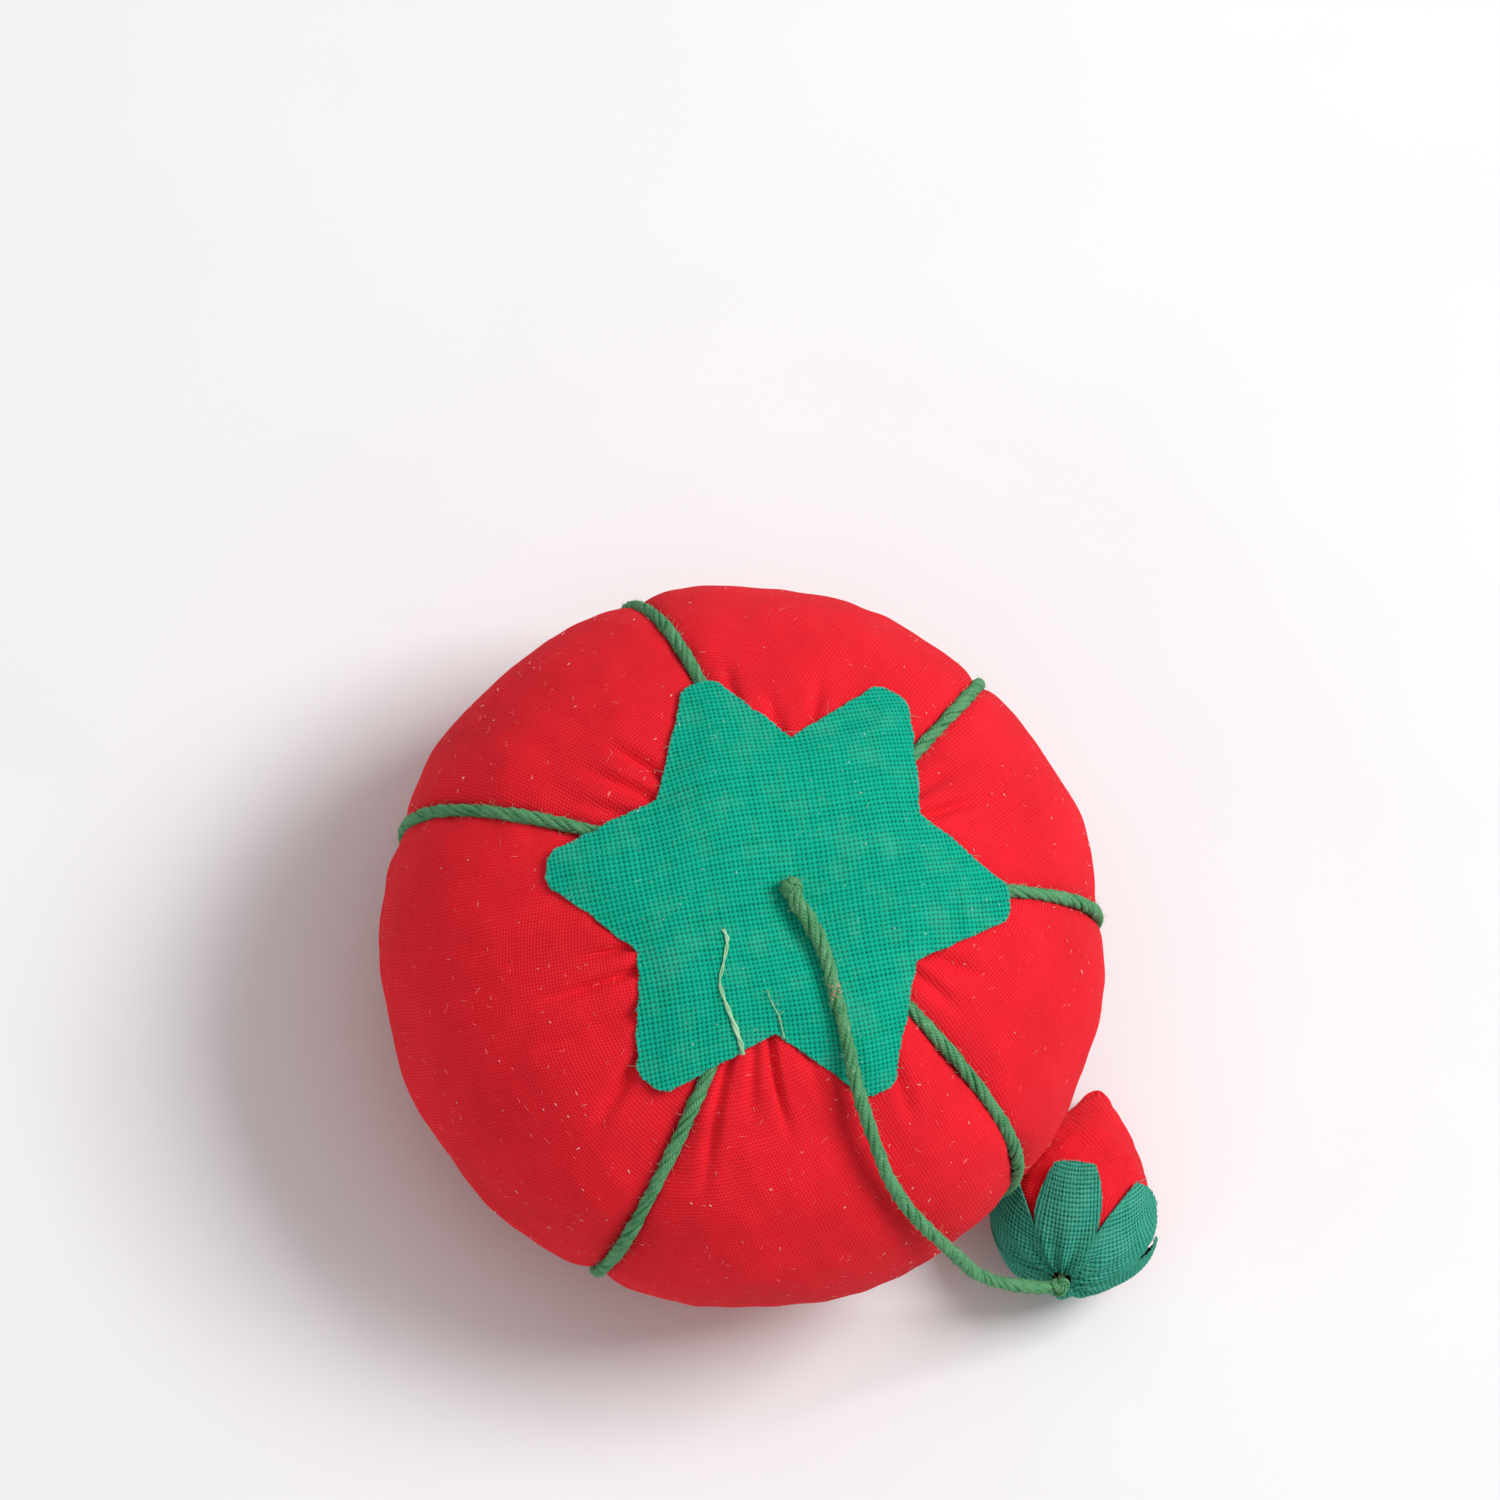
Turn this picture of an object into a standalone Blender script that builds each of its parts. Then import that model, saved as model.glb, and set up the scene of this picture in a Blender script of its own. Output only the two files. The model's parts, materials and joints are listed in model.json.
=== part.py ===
"""Tomato pincushion with a strawberry emery on a cord.

Metres, +Z up, standing on z = 0. The tomato is a stuffed ball of six cotton segments. One thread, passed
through its middle again and again, divides it. A cloth star covers the top, and a cord comes up through the
star, lies over a segment and down the side, and ends in a small strawberry that lies beside the tomato.
"""

from math import asin, atan2, cos, pi, radians, sin

import bmesh
import bpy
from mathutils import Vector

MM = 0.001
FREE = 0.3 * MM  # clear distance between pieces that touch

# Tomato
TOMATO_AXIS_X = -2.9 * MM  # puts the middle of the footprint of tomato and strawberry at the origin
TOMATO_RADIUS = 26.0 * MM
TOMATO_HEIGHT = 33.0 * MM
TOMATO_POWER = 2.3  # exponent of the side profile; 2 would be an ellipse
TOMATO_SAG = 1.6 * MM  # how far the underside is pressed flat by its weight
CLOTH_THICKNESS = 0.4 * MM
SEGMENT_AZIMUTHS = (4.3, 48.0, 108.5, 160.8, 246.0, 318.2)  # degrees; the segments are uneven, as tied by hand
ROWS = 18
ROW_CROWDING = 0.5  # draws the rows towards the poles
COLUMNS_PER_SEGMENT = 6

# Thread and cord
THREAD_DIAMETER = 1.0 * MM
THREAD_DEPTH_TOP = 0.5 * MM  # centre of the thread below the crest of the segments
THREAD_DEPTH_BOTTOM = 0.9 * MM
GROOVE_BELOW_THREAD = THREAD_DIAMETER / 2 + 0.35 * MM
SHOULDER_RISE = 0.8 * MM  # from the bottom of a groove to the bend of its wall
SHOULDER_HALF_WIDTH = 1.3 * MM
POLE_SINK_INNER = 3.3 * MM  # inside this radius the cloth lies as deep as the grooves
POLE_SINK_OUTER = 8.0 * MM
THREAD_PIT_RADIUS = 1.85 * MM  # where the six passes go down into the middle
CORE_RADIUS = 1.0 * MM
BORE_RADIUS = 1.4 * MM
PIT_RADIUS = 2.75 * MM
GATHER_RING_RADIUS = 3.9 * MM
GATHER_THREAD_RADIUS = 0.22 * MM

# Star of cloth on the top: tip and valley, each as azimuth in degrees and distance from the axis
STAR_TIPS = ((0.8, 16.2), (61.0, 17.4), (110.2, 16.4), (173.2, 16.6), (234.0, 16.3), (296.0, 15.1))
STAR_VALLEYS = ((31.8, 11.4), (86.8, 11.3), (143.8, 11.2), (202.0, 11.4), (264.0, 10.0), (333.0, 10.2))
STAR_TIP_HALF_WIDTH = 1.3 * MM
STAR_HOLE_RADIUS = 1.2 * MM
STAR_LIFT = 0.25 * MM
STAR_THICKNESS = 0.35 * MM
STAR_RINGS = (0.0, 0.3, 0.55, 0.8, 1.0)
STAR_EDGE_STEPS = 3

# Cord from the tomato to the strawberry
CORD_DIAMETER = 1.0 * MM
ANCHOR_RADIUS = 0.8 * MM
ANCHOR_HEIGHT = TOMATO_HEIGHT + STAR_LIFT + STAR_THICKNESS + 0.85 * MM
CORD_ROUTE = (
    (-0.00253, -0.00113, 0.03445),
    (-0.00180, -0.00230, 0.03442),
    (-0.00102, -0.00380, 0.03435),
    (-0.00045, -0.00540, 0.03421),
    (-0.00005, -0.00710, 0.03401),
    (0.00045, -0.00890, 0.03372),
    (0.00100, -0.01090, 0.03328),
    (0.00150, -0.01300, 0.03268),
    (0.00225, -0.01510, 0.03187),
    (0.00320, -0.01715, 0.03071),
    (0.00432, -0.01906, 0.02907),
    (0.00587, -0.02072, 0.02708),
    (0.00787, -0.02195, 0.02460),
    (0.01001, -0.02264, 0.02137),
    (0.01180, -0.02300, 0.01800),
    (0.01352, -0.02322, 0.01480),
    (0.01580, -0.02330, 0.01165),
    (0.01832, -0.02315, 0.00942),
    (0.02003, -0.02303, 0.00857),
)
CORD_STEPS = 2

# Strawberry, along its own axis from the knot at its neck to its tip
NECK = (21.10 * MM, -22.95 * MM, 8.45 * MM)
STRAWBERRY_AZIMUTH = radians(73.5)
STRAWBERRY_DROOP = radians(20.0)
STRAWBERRY_LENGTH = 16.6 * MM
STRAWBERRY_RADIUS = 5.6 * MM
STRAWBERRY_SETBACK = 0.9 * MM  # from the knot to the flat end of the strawberry
STRAWBERRY_SKEW = 0.62  # moves the widest place towards the neck
STRAWBERRY_FULLNESS = 0.85
NECK_OPENING = 0.012  # share of the length where the cloth is gathered open
NECK_KNOT_RADIUS = 0.8 * MM
CAP_THICKNESS = 0.3 * MM
LEAF_COUNT = 6
LEAF_COLUMNS = 5
LEAF_TIP = 0.36  # share of the strawberry's length that a leaf reaches
LEAF_NOTCH = 0.08
LEAF_RINGS = 5
TURN_STEPS = 20

RED = (0.78, 0.012, 0.030)
GREEN = (0.0, 0.33, 0.20)
THREAD_GREEN = (0.03, 0.21, 0.07)


def clear_scene():
    for item in list(bpy.data.objects):
        bpy.data.objects.remove(item)
    collection = bpy.data.collections.new("tomato_pincushion")
    bpy.context.scene.collection.children.link(collection)
    return collection


COLLECTION = clear_scene()


def finish(item, name, colour, roughness, parent=None):
    """Name a new object, give it its own material and put it in the collection."""
    item.name = name
    material = bpy.data.materials.new(name)
    material.use_nodes = True
    shader = material.node_tree.nodes["Principled BSDF"]
    shader.inputs["Base Color"].default_value = (*colour, 1.0)
    shader.inputs["Roughness"].default_value = roughness
    shader.inputs["Metallic"].default_value = 0.0
    item.data.materials.append(material)
    for holder in list(item.users_collection):
        holder.objects.unlink(item)
    COLLECTION.objects.link(item)
    item.parent = parent
    if item.type == "MESH":
        item.data.shade_smooth()
    return item


def mesh_object(shape, name):
    mesh = bpy.data.meshes.new(name)
    shape.to_mesh(mesh)
    shape.free()
    return bpy.data.objects.new(name, mesh)


def pivot(name, location, rotation=(0.0, 0.0, 0.0)):
    """An empty on a joint's axis, which the moving pieces hang from."""
    empty = bpy.data.objects.new(name, None)
    empty.empty_display_size = 2 * MM
    empty.location = location
    empty.rotation_euler = rotation
    COLLECTION.objects.link(empty)
    return empty


def solidify(item, thickness, offset):
    shell = item.modifiers.new("thickness", "SOLIDIFY")
    shell.thickness = thickness
    shell.offset = offset
    shell.use_even_offset = True


def loft(rings):
    """An open surface through closed rings of equal length, its outside towards the first ring's side."""
    shape = bmesh.new()
    rows = [[shape.verts.new(point) for point in ring] for ring in rings]
    for inner, outer in zip(rows, rows[1:]):
        for i in range(len(inner)):
            j = (i + 1) % len(inner)
            shape.faces.new((inner[i], outer[i], outer[j], inner[j]))
    return shape


def tube(name, points, diameter, origin=(0.0, 0.0, 0.0)):
    """A round cord along points, with closed ends."""
    data = bpy.data.curves.new(name, "CURVE")
    data.dimensions = "3D"
    data.bevel_depth = diameter / 2
    data.bevel_resolution = 2
    data.use_fill_caps = True
    spline = data.splines.new("POLY")
    spline.points.add(len(points) - 1)
    for place, point in zip(spline.points, points):
        place.co = (*(Vector(point) - Vector(origin)), 1.0)
    item = bpy.data.objects.new(name, data)
    item.location = origin
    return item


def turned(name, profile, steps=TURN_STEPS):
    """A profile of (radius, height) pairs, from top to bottom, turned round the local Z axis."""
    shape = bmesh.new()
    points = [shape.verts.new((radius, 0.0, height)) for radius, height in profile]
    for upper, lower in zip(points, points[1:]):
        shape.edges.new((upper, lower))
    item = mesh_object(shape, name)
    screw = item.modifiers.new("turn", "SCREW")
    screw.steps = steps
    screw.render_steps = steps
    screw.use_merge_vertices = True
    screw.merge_threshold = 0.00001
    screw.use_smooth_shade = True
    return item


def ball(name, radius, location=(0.0, 0.0, 0.0)):
    shape = bmesh.new()
    bmesh.ops.create_uvsphere(shape, u_segments=14, v_segments=8, radius=radius)
    item = mesh_object(shape, name)
    item.location = location
    return item


def ring(name, radius, thickness, location=(0.0, 0.0, 0.0)):
    bpy.ops.mesh.primitive_torus_add(
        major_radius=radius, minor_radius=thickness, major_segments=20, minor_segments=6, location=location
    )
    return bpy.context.object


def smooth_route(points, steps):
    """A smooth curve through the points, with a number of steps from each to the next."""
    ends = [points[0], *points, points[-1]]
    knots = [Vector(point) for point in ends]
    result = []
    for before, here, there, after in zip(knots, knots[1:], knots[2:], knots[3:]):
        for step in range(steps):
            t = step / steps
            pull = (there - before) * t + (2 * before - 5 * here + 4 * there - after) * t * t
            result.append(here + 0.5 * (pull + (3 * here - before - 3 * there + after) * t ** 3))
    return result + [knots[-1]]


# The tomato's surface


def row_angle(row):
    """Angle from the top pole for a row; 0 is the top pole and ROWS the bottom one."""
    even = pi * row / ROWS
    return even - ROW_CROWDING * sin(2 * even) / 2


def crest(angle):
    """Radius, height and outward direction of the crest of the segments."""
    half = (TOMATO_HEIGHT + TOMATO_SAG) / 2
    share_out = sin(angle) ** (2 / TOMATO_POWER)
    share_up = abs(cos(angle)) ** (2 / TOMATO_POWER)
    side = 1.0 if angle < pi / 2 else -1.0
    height = half * (1 + side * share_up) - TOMATO_SAG
    if height <= 0:
        return TOMATO_RADIUS * share_out, 0.0, Vector((0.0, -1.0))
    out = share_out ** (TOMATO_POWER - 1) / TOMATO_RADIUS
    up = side * share_up ** (TOMATO_POWER - 1) / half
    return TOMATO_RADIUS * share_out, height, Vector((out, up)).normalized()


def crest_height(radius):
    """Height of the crest on the upper side, at a distance from the axis."""
    half = (TOMATO_HEIGHT + TOMATO_SAG) / 2
    share = 1 - (radius / TOMATO_RADIUS) ** TOMATO_POWER
    return half * (1 + share ** (1 / TOMATO_POWER)) - TOMATO_SAG


def thread_depth(angle):
    """Depth of the thread's centre below the crest, deeper on the underside so that it never bears."""
    low = min(max((angle - pi / 2) / (pi / 4), 0.0), 1.0)
    return THREAD_DEPTH_TOP + (THREAD_DEPTH_BOTTOM - THREAD_DEPTH_TOP) * low


def pole_sink(radius):
    share = (POLE_SINK_OUTER - radius) / (POLE_SINK_OUTER - POLE_SINK_INNER)
    return min(max(share, 0.0), 1.0)


def column_azimuth(column, radius):
    """Azimuth of a column: a groove, its two shoulders and three crests repeat in each segment."""
    segment, place = divmod(column, COLUMNS_PER_SEGMENT)
    start = radians(SEGMENT_AZIMUTHS[segment])
    width = radians(SEGMENT_AZIMUTHS[(segment + 1) % len(SEGMENT_AZIMUTHS)]) - start
    width %= 2 * pi
    shoulder = min(asin(min(SHOULDER_HALF_WIDTH / radius, 1.0)), 0.3 * width)
    between = width - 2 * shoulder
    return start + (0.0, shoulder, *(shoulder + between * k / 4 for k in (1, 2, 3)), width - shoulder)[place]


def fold_depth(column, angle, radius):
    """Depth of the cloth below the crest."""
    deepest = thread_depth(angle) + GROOVE_BELOW_THREAD
    place = column % COLUMNS_PER_SEGMENT
    own = {0: deepest, 1: deepest - SHOULDER_RISE, COLUMNS_PER_SEGMENT - 1: deepest - SHOULDER_RISE}.get(place, 0.0)
    return own + (deepest - own) * pole_sink(radius)


def tomato_point(row, column, inset=0.0):
    """A point of the tomato's outer surface, or of one that lies inset below it."""
    angle = row_angle(row)
    radius, height, outward = crest(angle)
    depth = fold_depth(column, angle, radius) + inset
    place = Vector((radius, height)) - outward * depth
    azimuth = column_azimuth(column, radius)
    return Vector((place.x * cos(azimuth), place.x * sin(azimuth), place.y))


def tomato_columns():
    return COLUMNS_PER_SEGMENT * len(SEGMENT_AZIMUTHS)


def index_round(x, y, count):
    return round(atan2(y, x) / (2 * pi) * count) % count


def tomato_cover():
    """The six-segment ball of cloth, open at both poles where it is gathered."""
    columns = tomato_columns()
    shape = bmesh.new()
    bmesh.ops.create_uvsphere(shape, u_segments=columns, v_segments=ROWS, radius=1.0)
    poles = [vert for vert in shape.verts if abs(vert.co.z) > 0.9999]
    bmesh.ops.delete(shape, geom=poles, context="VERTS")
    for vert in shape.verts:
        row = round(atan2(vert.co.xy.length, vert.co.z) / pi * ROWS)
        vert.co = tomato_point(row, index_round(vert.co.x, vert.co.y, columns))
    item = mesh_object(shape, "tomato_cover")
    solidify(item, CLOTH_THICKNESS, -1.0)
    item.location.x = TOMATO_AXIS_X
    return finish(item, "tomato_cover", RED, 0.9)


def tomato_stuffing():
    """The packed filling, inside the cloth, with a bore for the thread and a pit at each end of it."""
    columns = tomato_columns()
    inset = CLOTH_THICKNESS + FREE + 0.05 * MM
    pit_top, pit_bottom = 29.9 * MM, 3.5 * MM
    pit_depth = 2.2 * MM
    ring_room = GATHER_RING_RADIUS + 1.0 * MM
    inside = (
        (ring_room, pit_top),
        (PIT_RADIUS, pit_top),
        (PIT_RADIUS, pit_top - pit_depth),
        (BORE_RADIUS, pit_top - 1.3 * pit_depth),
        (BORE_RADIUS, pit_bottom + 1.3 * pit_depth),
        (PIT_RADIUS, pit_bottom + pit_depth),
        (PIT_RADIUS, pit_bottom),
        (ring_room, pit_bottom),
    )
    middle = ROWS // 2
    upper = list(range(middle, 1, -1))
    lower = list(range(ROWS - 2, middle, -1))
    count = len(upper) + len(inside) + len(lower)

    def section_point(step, column):
        if step < len(upper):
            return tomato_point(upper[step], column, inset)
        if step < len(upper) + len(inside):
            radius, height = inside[step - len(upper)]
            azimuth = column_azimuth(column, radius)
            return Vector((radius * cos(azimuth), radius * sin(azimuth), height))
        return tomato_point(lower[step - len(upper) - len(inside)], column, inset)

    bpy.ops.mesh.primitive_torus_add(
        major_radius=2.0, minor_radius=1.0, major_segments=columns, minor_segments=count
    )
    item = bpy.context.object
    for vert in item.data.vertices:
        x, y, z = vert.co
        step = index_round(vert.co.xy.length - 2.0, z, count)
        vert.co = section_point(step, index_round(x, y, columns))
    item.location.x = TOMATO_AXIS_X
    return finish(item, "tomato_stuffing", (0.75, 0.70, 0.60), 1.0)


def segment_cord(number, azimuth):
    """One pass of the thread: out of the top, down the outside in its groove, and in at the bottom."""
    outside = []
    for row in range(1, ROWS):
        angle = row_angle(row)
        radius, height, outward = crest(angle)
        place = Vector((radius, height)) - outward * thread_depth(angle)
        outside.append((place.x, place.y))
    turn = ((THREAD_PIT_RADIUS, 2.4), (THREAD_PIT_RADIUS, 1.1), (2.1 * MM, 0.45), (2.55 * MM, 0.12))
    top = [(radius, outside[0][1] - drop * MM) for radius, drop in turn]
    bottom = [(radius, outside[-1][1] + drop * MM) for radius, drop in reversed(turn)]
    path = [
        (radius * cos(azimuth) + TOMATO_AXIS_X, radius * sin(azimuth), height)
        for radius, height in top + outside + bottom
    ]
    item = tube(f"segment_cord_{number}", path, THREAD_DIAMETER)
    return finish(item, f"segment_cord_{number}", THREAD_GREEN, 0.85)


def core_thread():
    """The six passes side by side through the middle of the ball."""
    low, high = 3.2 * MM, 30.6 * MM
    shape = bmesh.new()
    bmesh.ops.create_cone(
        shape, cap_ends=True, segments=12, radius1=CORE_RADIUS, radius2=CORE_RADIUS, depth=high - low
    )
    item = mesh_object(shape, "core_thread")
    item.location = (TOMATO_AXIS_X, 0.0, (low + high) / 2)
    return finish(item, "core_thread", THREAD_GREEN, 0.85)


def gathering_threads():
    heights = {"top_gathering_thread": 30.7 * MM, "bottom_gathering_thread": 2.7 * MM}
    for name, height in heights.items():
        item = ring(name, GATHER_RING_RADIUS, GATHER_THREAD_RADIUS, (TOMATO_AXIS_X, 0.0, height))
        finish(item, name, RED, 0.85)


def bottom_knot():
    item = ball("bottom_knot", CORE_RADIUS, (TOMATO_AXIS_X, 0.0, 1.6 * MM))
    return finish(item, "bottom_knot", THREAD_GREEN, 0.85)


def star_outline():
    """The star's edge: blunt tips joined to the valleys by straight cuts."""
    corners = []
    for (tip_azimuth, tip), (valley_azimuth, valley) in zip(STAR_TIPS, STAR_VALLEYS):
        towards = Vector((cos(radians(tip_azimuth)), sin(radians(tip_azimuth))))
        across = Vector((-towards.y, towards.x)) * STAR_TIP_HALF_WIDTH
        hollow = Vector((cos(radians(valley_azimuth)), sin(radians(valley_azimuth)))) * valley * MM
        corners += [towards * tip * MM - across, towards * tip * MM + across, hollow]
    points = []
    for i, corner in enumerate(corners):
        following = corners[(i + 1) % len(corners)]
        steps = 1 if i % 3 == 0 else STAR_EDGE_STEPS
        points += [corner.lerp(following, step / steps) for step in range(steps)]
    return points


def calyx():
    """The cloth star, curved over the top of the tomato, with a hole for the cord."""
    rings = []
    for share in STAR_RINGS:
        flat = [point.normalized() * STAR_HOLE_RADIUS * (1 - share) + point * share for point in star_outline()]
        rings.append([(point.x, point.y, crest_height(point.length) + STAR_LIFT) for point in flat])
    item = mesh_object(loft(rings), "calyx")
    solidify(item, STAR_THICKNESS, 1.0)
    item.location.x = TOMATO_AXIS_X
    return finish(item, "calyx", GREEN, 0.9)


def tether_anchor(parent):
    """The doubled end of the cord that comes up through the star: a stem with a round head."""
    stem_radius, stem_length = 0.65 * MM, 3.2 * MM
    head = [(ANCHOR_RADIUS * sin(radians(a)), ANCHOR_RADIUS * cos(radians(a))) for a in range(0, 121, 20)]
    profile = [(0.0, ANCHOR_RADIUS), *head[1:], (stem_radius, -stem_length), (0.0, -stem_length)]
    item = turned("tether_anchor", profile, 14)
    return finish(item, "tether_anchor", THREAD_GREEN, 0.85, parent)


def tether_cord():
    origin = (TOMATO_AXIS_X, 0.0, ANCHOR_HEIGHT)
    item = tube("tether_cord", smooth_route(CORD_ROUTE, CORD_STEPS), CORD_DIAMETER, origin)
    return finish(item, "tether_cord", THREAD_GREEN, 0.85)


# The strawberry, whose local -Z runs from its neck to its tip


def strawberry_section(share, inset=0.0):
    """Radius and height at a share of the length, on the outside or on a surface inset below it."""

    def outside(s):
        radius = STRAWBERRY_RADIUS * max(sin(pi * s ** STRAWBERRY_SKEW), 0.0) ** STRAWBERRY_FULLNESS
        return Vector((radius, -STRAWBERRY_SETBACK - s * STRAWBERRY_LENGTH))

    small = 0.002
    along = outside(min(share + small, 1.0)) - outside(max(share - small, 0.0))
    outward = Vector((-along.y, along.x)).normalized()
    return outside(share) - outward * inset


def strawberry_shares(first, last, count):
    return [first + (last - first) * (1 - cos(pi * i / count)) / 2 for i in range(count + 1)]


def strawberry_cover(parent):
    profile = [tuple(strawberry_section(share)) for share in strawberry_shares(NECK_OPENING, 1.0, 11)]
    profile[-1] = (0.0, profile[-1][1])
    item = turned("strawberry_cover", profile)
    solidify(item, CLOTH_THICKNESS, -1.0)
    return finish(item, "strawberry_cover", RED, 0.9, parent)


def emery_filling(parent):
    inset = CLOTH_THICKNESS + FREE
    top, bottom = 0.07, 0.93
    side = [tuple(strawberry_section(share, inset)) for share in strawberry_shares(top, bottom, 9)]
    profile = [(0.0, side[0][1]), *side, (0.0, side[-1][1])]
    item = turned("emery_filling", profile)
    return finish(item, "emery_filling", (0.10, 0.09, 0.09), 0.7, parent)


def strawberry_gathering_thread(parent):
    height = -STRAWBERRY_SETBACK - 1.15 * MM
    item = ring("strawberry_gathering_thread", 2.0 * MM, 0.2 * MM, (0.0, 0.0, height))
    return finish(item, "strawberry_gathering_thread", RED, 0.85, parent)


def leaf_reach(turn):
    """How far down the strawberry the cap reaches, at a place round it: blunt leaves with notches."""
    across = abs((turn * LEAF_COUNT) % 1.0 - 0.5) * 2  # 0 in the middle of a leaf, 1 in a notch
    return LEAF_TIP - (LEAF_TIP - LEAF_NOTCH) * max(across - 0.25, 0.0) / 0.75


def strawberry_calyx(parent):
    """The cloth cap over the shoulder, in six blunt leaves, with a hole for the knot."""
    columns = LEAF_COUNT * LEAF_COLUMNS
    rings = []
    for i in range(LEAF_RINGS + 1):
        points = []
        for column in range(columns):
            turn = column / columns
            share = NECK_OPENING + (leaf_reach(turn) - NECK_OPENING) * (i / LEAF_RINGS) ** 1.3
            radius, height = strawberry_section(share, -FREE)
            points.append((radius * cos(2 * pi * turn), radius * sin(2 * pi * turn), height))
        rings.append(points)
    item = mesh_object(loft(rings), "strawberry_calyx")
    solidify(item, CAP_THICKNESS, 1.0)
    return finish(item, "strawberry_calyx", GREEN, 0.95, parent)


def build_tomato():
    tomato_cover()
    tomato_stuffing()
    gathering_threads()
    for number, azimuth in enumerate(SEGMENT_AZIMUTHS, start=1):
        segment_cord(number, radians(azimuth))
    core_thread()
    bottom_knot()
    calyx()


def build_tether():
    swing = pivot("tether_pivot", (TOMATO_AXIS_X, 0.0, ANCHOR_HEIGHT))
    tether_anchor(swing)
    tether_cord()


def build_strawberry():
    towards_tip = Vector((cos(STRAWBERRY_AZIMUTH), sin(STRAWBERRY_AZIMUTH), 0.0)) * cos(STRAWBERRY_DROOP)
    towards_tip.z = -sin(STRAWBERRY_DROOP)
    turn = Vector((0.0, 0.0, 1.0)).rotation_difference(-towards_tip).to_euler()
    neck = pivot("neck_pivot", NECK, turn)
    knot = ball("strawberry_knot", NECK_KNOT_RADIUS)
    finish(knot, "strawberry_knot", THREAD_GREEN, 0.85, neck)
    strawberry_cover(neck)
    emery_filling(neck)
    strawberry_gathering_thread(neck)
    strawberry_calyx(neck)


build_tomato()
build_tether()
build_strawberry()
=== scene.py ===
import json
from math import ceil, cos, pi, radians, sin, tau

import bpy
import numpy as np
from mathutils import Matrix, Vector


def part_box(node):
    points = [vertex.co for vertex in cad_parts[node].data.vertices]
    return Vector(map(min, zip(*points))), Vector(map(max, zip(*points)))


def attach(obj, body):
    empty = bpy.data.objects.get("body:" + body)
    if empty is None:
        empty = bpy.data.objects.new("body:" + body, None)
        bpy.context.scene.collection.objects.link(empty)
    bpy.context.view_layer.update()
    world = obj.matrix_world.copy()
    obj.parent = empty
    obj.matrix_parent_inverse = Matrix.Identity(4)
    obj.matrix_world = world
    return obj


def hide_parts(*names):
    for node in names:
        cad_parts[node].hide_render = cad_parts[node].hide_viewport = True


# The looks of the tomato pincushion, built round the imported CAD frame. Metres, +Z up, and azimuths are
# measured about the tomato's own axis, from +X towards +Y.

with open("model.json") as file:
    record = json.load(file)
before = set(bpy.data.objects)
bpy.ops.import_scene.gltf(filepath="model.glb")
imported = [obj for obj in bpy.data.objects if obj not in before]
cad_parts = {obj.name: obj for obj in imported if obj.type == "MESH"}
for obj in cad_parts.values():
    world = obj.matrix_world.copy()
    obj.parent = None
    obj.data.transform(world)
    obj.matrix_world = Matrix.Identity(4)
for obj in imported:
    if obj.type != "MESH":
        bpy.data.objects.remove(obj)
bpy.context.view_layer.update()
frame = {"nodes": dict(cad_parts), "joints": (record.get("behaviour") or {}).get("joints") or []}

MM = 0.001
joints = {joint["name"]: joint for joint in frame["joints"]}
TETHER_PIVOT = Vector(joints["tether_lift"]["pos_m"])
NECK = Vector(joints["strawberry_swing"]["pos_m"])
TOWARDS_TIP = Vector(joints["strawberry_roll"]["axis"]).normalized()
AXIS_X = TETHER_PIVOT.x

# The tomato's shape, as part.py has it
TOMATO_RADIUS = 26.0 * MM
TOMATO_HEIGHT = 33.0 * MM
TOMATO_POWER = 2.3
TOMATO_SAG = 1.6 * MM
HALF_HEIGHT = (TOMATO_HEIGHT + TOMATO_SAG) / 2
SEGMENT_AZIMUTHS = (4.3, 48.0, 108.5, 160.8, 246.0, 318.2)
THREAD_DEPTH_TOP = 0.5 * MM
THREAD_DEPTH_BOTTOM = 0.9 * MM
CORD_DIAMETER = 1.0 * MM

# The camera of the photograph: how far the tomato's axis leans away from it, and towards which azimuth
LEAN = radians(17.5)
LEAN_AZIMUTH = radians(52.0)
CAMERA_DISTANCE = 0.8
FRAME_WIDTH = 106.8 * MM  # what the picture spans at the object
AIM_RIGHT = 0.36 * MM
AIM_UP = 13.81 * MM


# Arrays and meshes


def seeded(number):
    return np.random.default_rng(number)


def smoothstep(x):
    x = np.clip(x, 0.0, 1.0)
    return x * x * (3 - 2 * x)


def unit(vectors):
    return vectors / np.maximum(np.linalg.norm(vectors, axis=-1, keepdims=True), 1e-12)


def around_z(out, azimuth, up):
    """Points at distances from the z axis, by azimuth and height."""
    return np.stack(np.broadcast_arrays(out * np.cos(azimuth), out * np.sin(azimuth), up), -1)


def around_tomato(out, azimuth, up):
    """The same about the tomato's own axis."""
    return around_z(out, azimuth, up) + (AXIS_X, 0.0, 0.0)


def with_zero(flat):
    """Flat points with a third coordinate of 0."""
    return np.concatenate([flat, np.zeros((*flat.shape[:-1], 1))], -1)


def distance_along(path):
    """How far along the path each of its points is."""
    return np.concatenate([[0.0], np.cumsum(np.linalg.norm(np.diff(path, axis=0), axis=1))])


def wrapped(angle):
    """An angle difference, brought to the range from -pi to pi."""
    return (angle + pi) % tau - pi


def lumps(points, wavelength, seed, waves=18):
    """A smooth random field of about unit size, from waves of random direction."""
    random = seeded(seed)
    directions = unit(random.normal(size=(waves, 3)))
    lengths = wavelength * random.uniform(0.75, 1.5, waves)
    phases = random.uniform(0, tau, waves)
    total = np.zeros(points.shape[:-1])
    for direction, length, phase in zip(directions, lengths, phases):
        total += np.sin(points @ (direction * tau / length) + phase)
    return total / np.sqrt(waves / 2)


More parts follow.
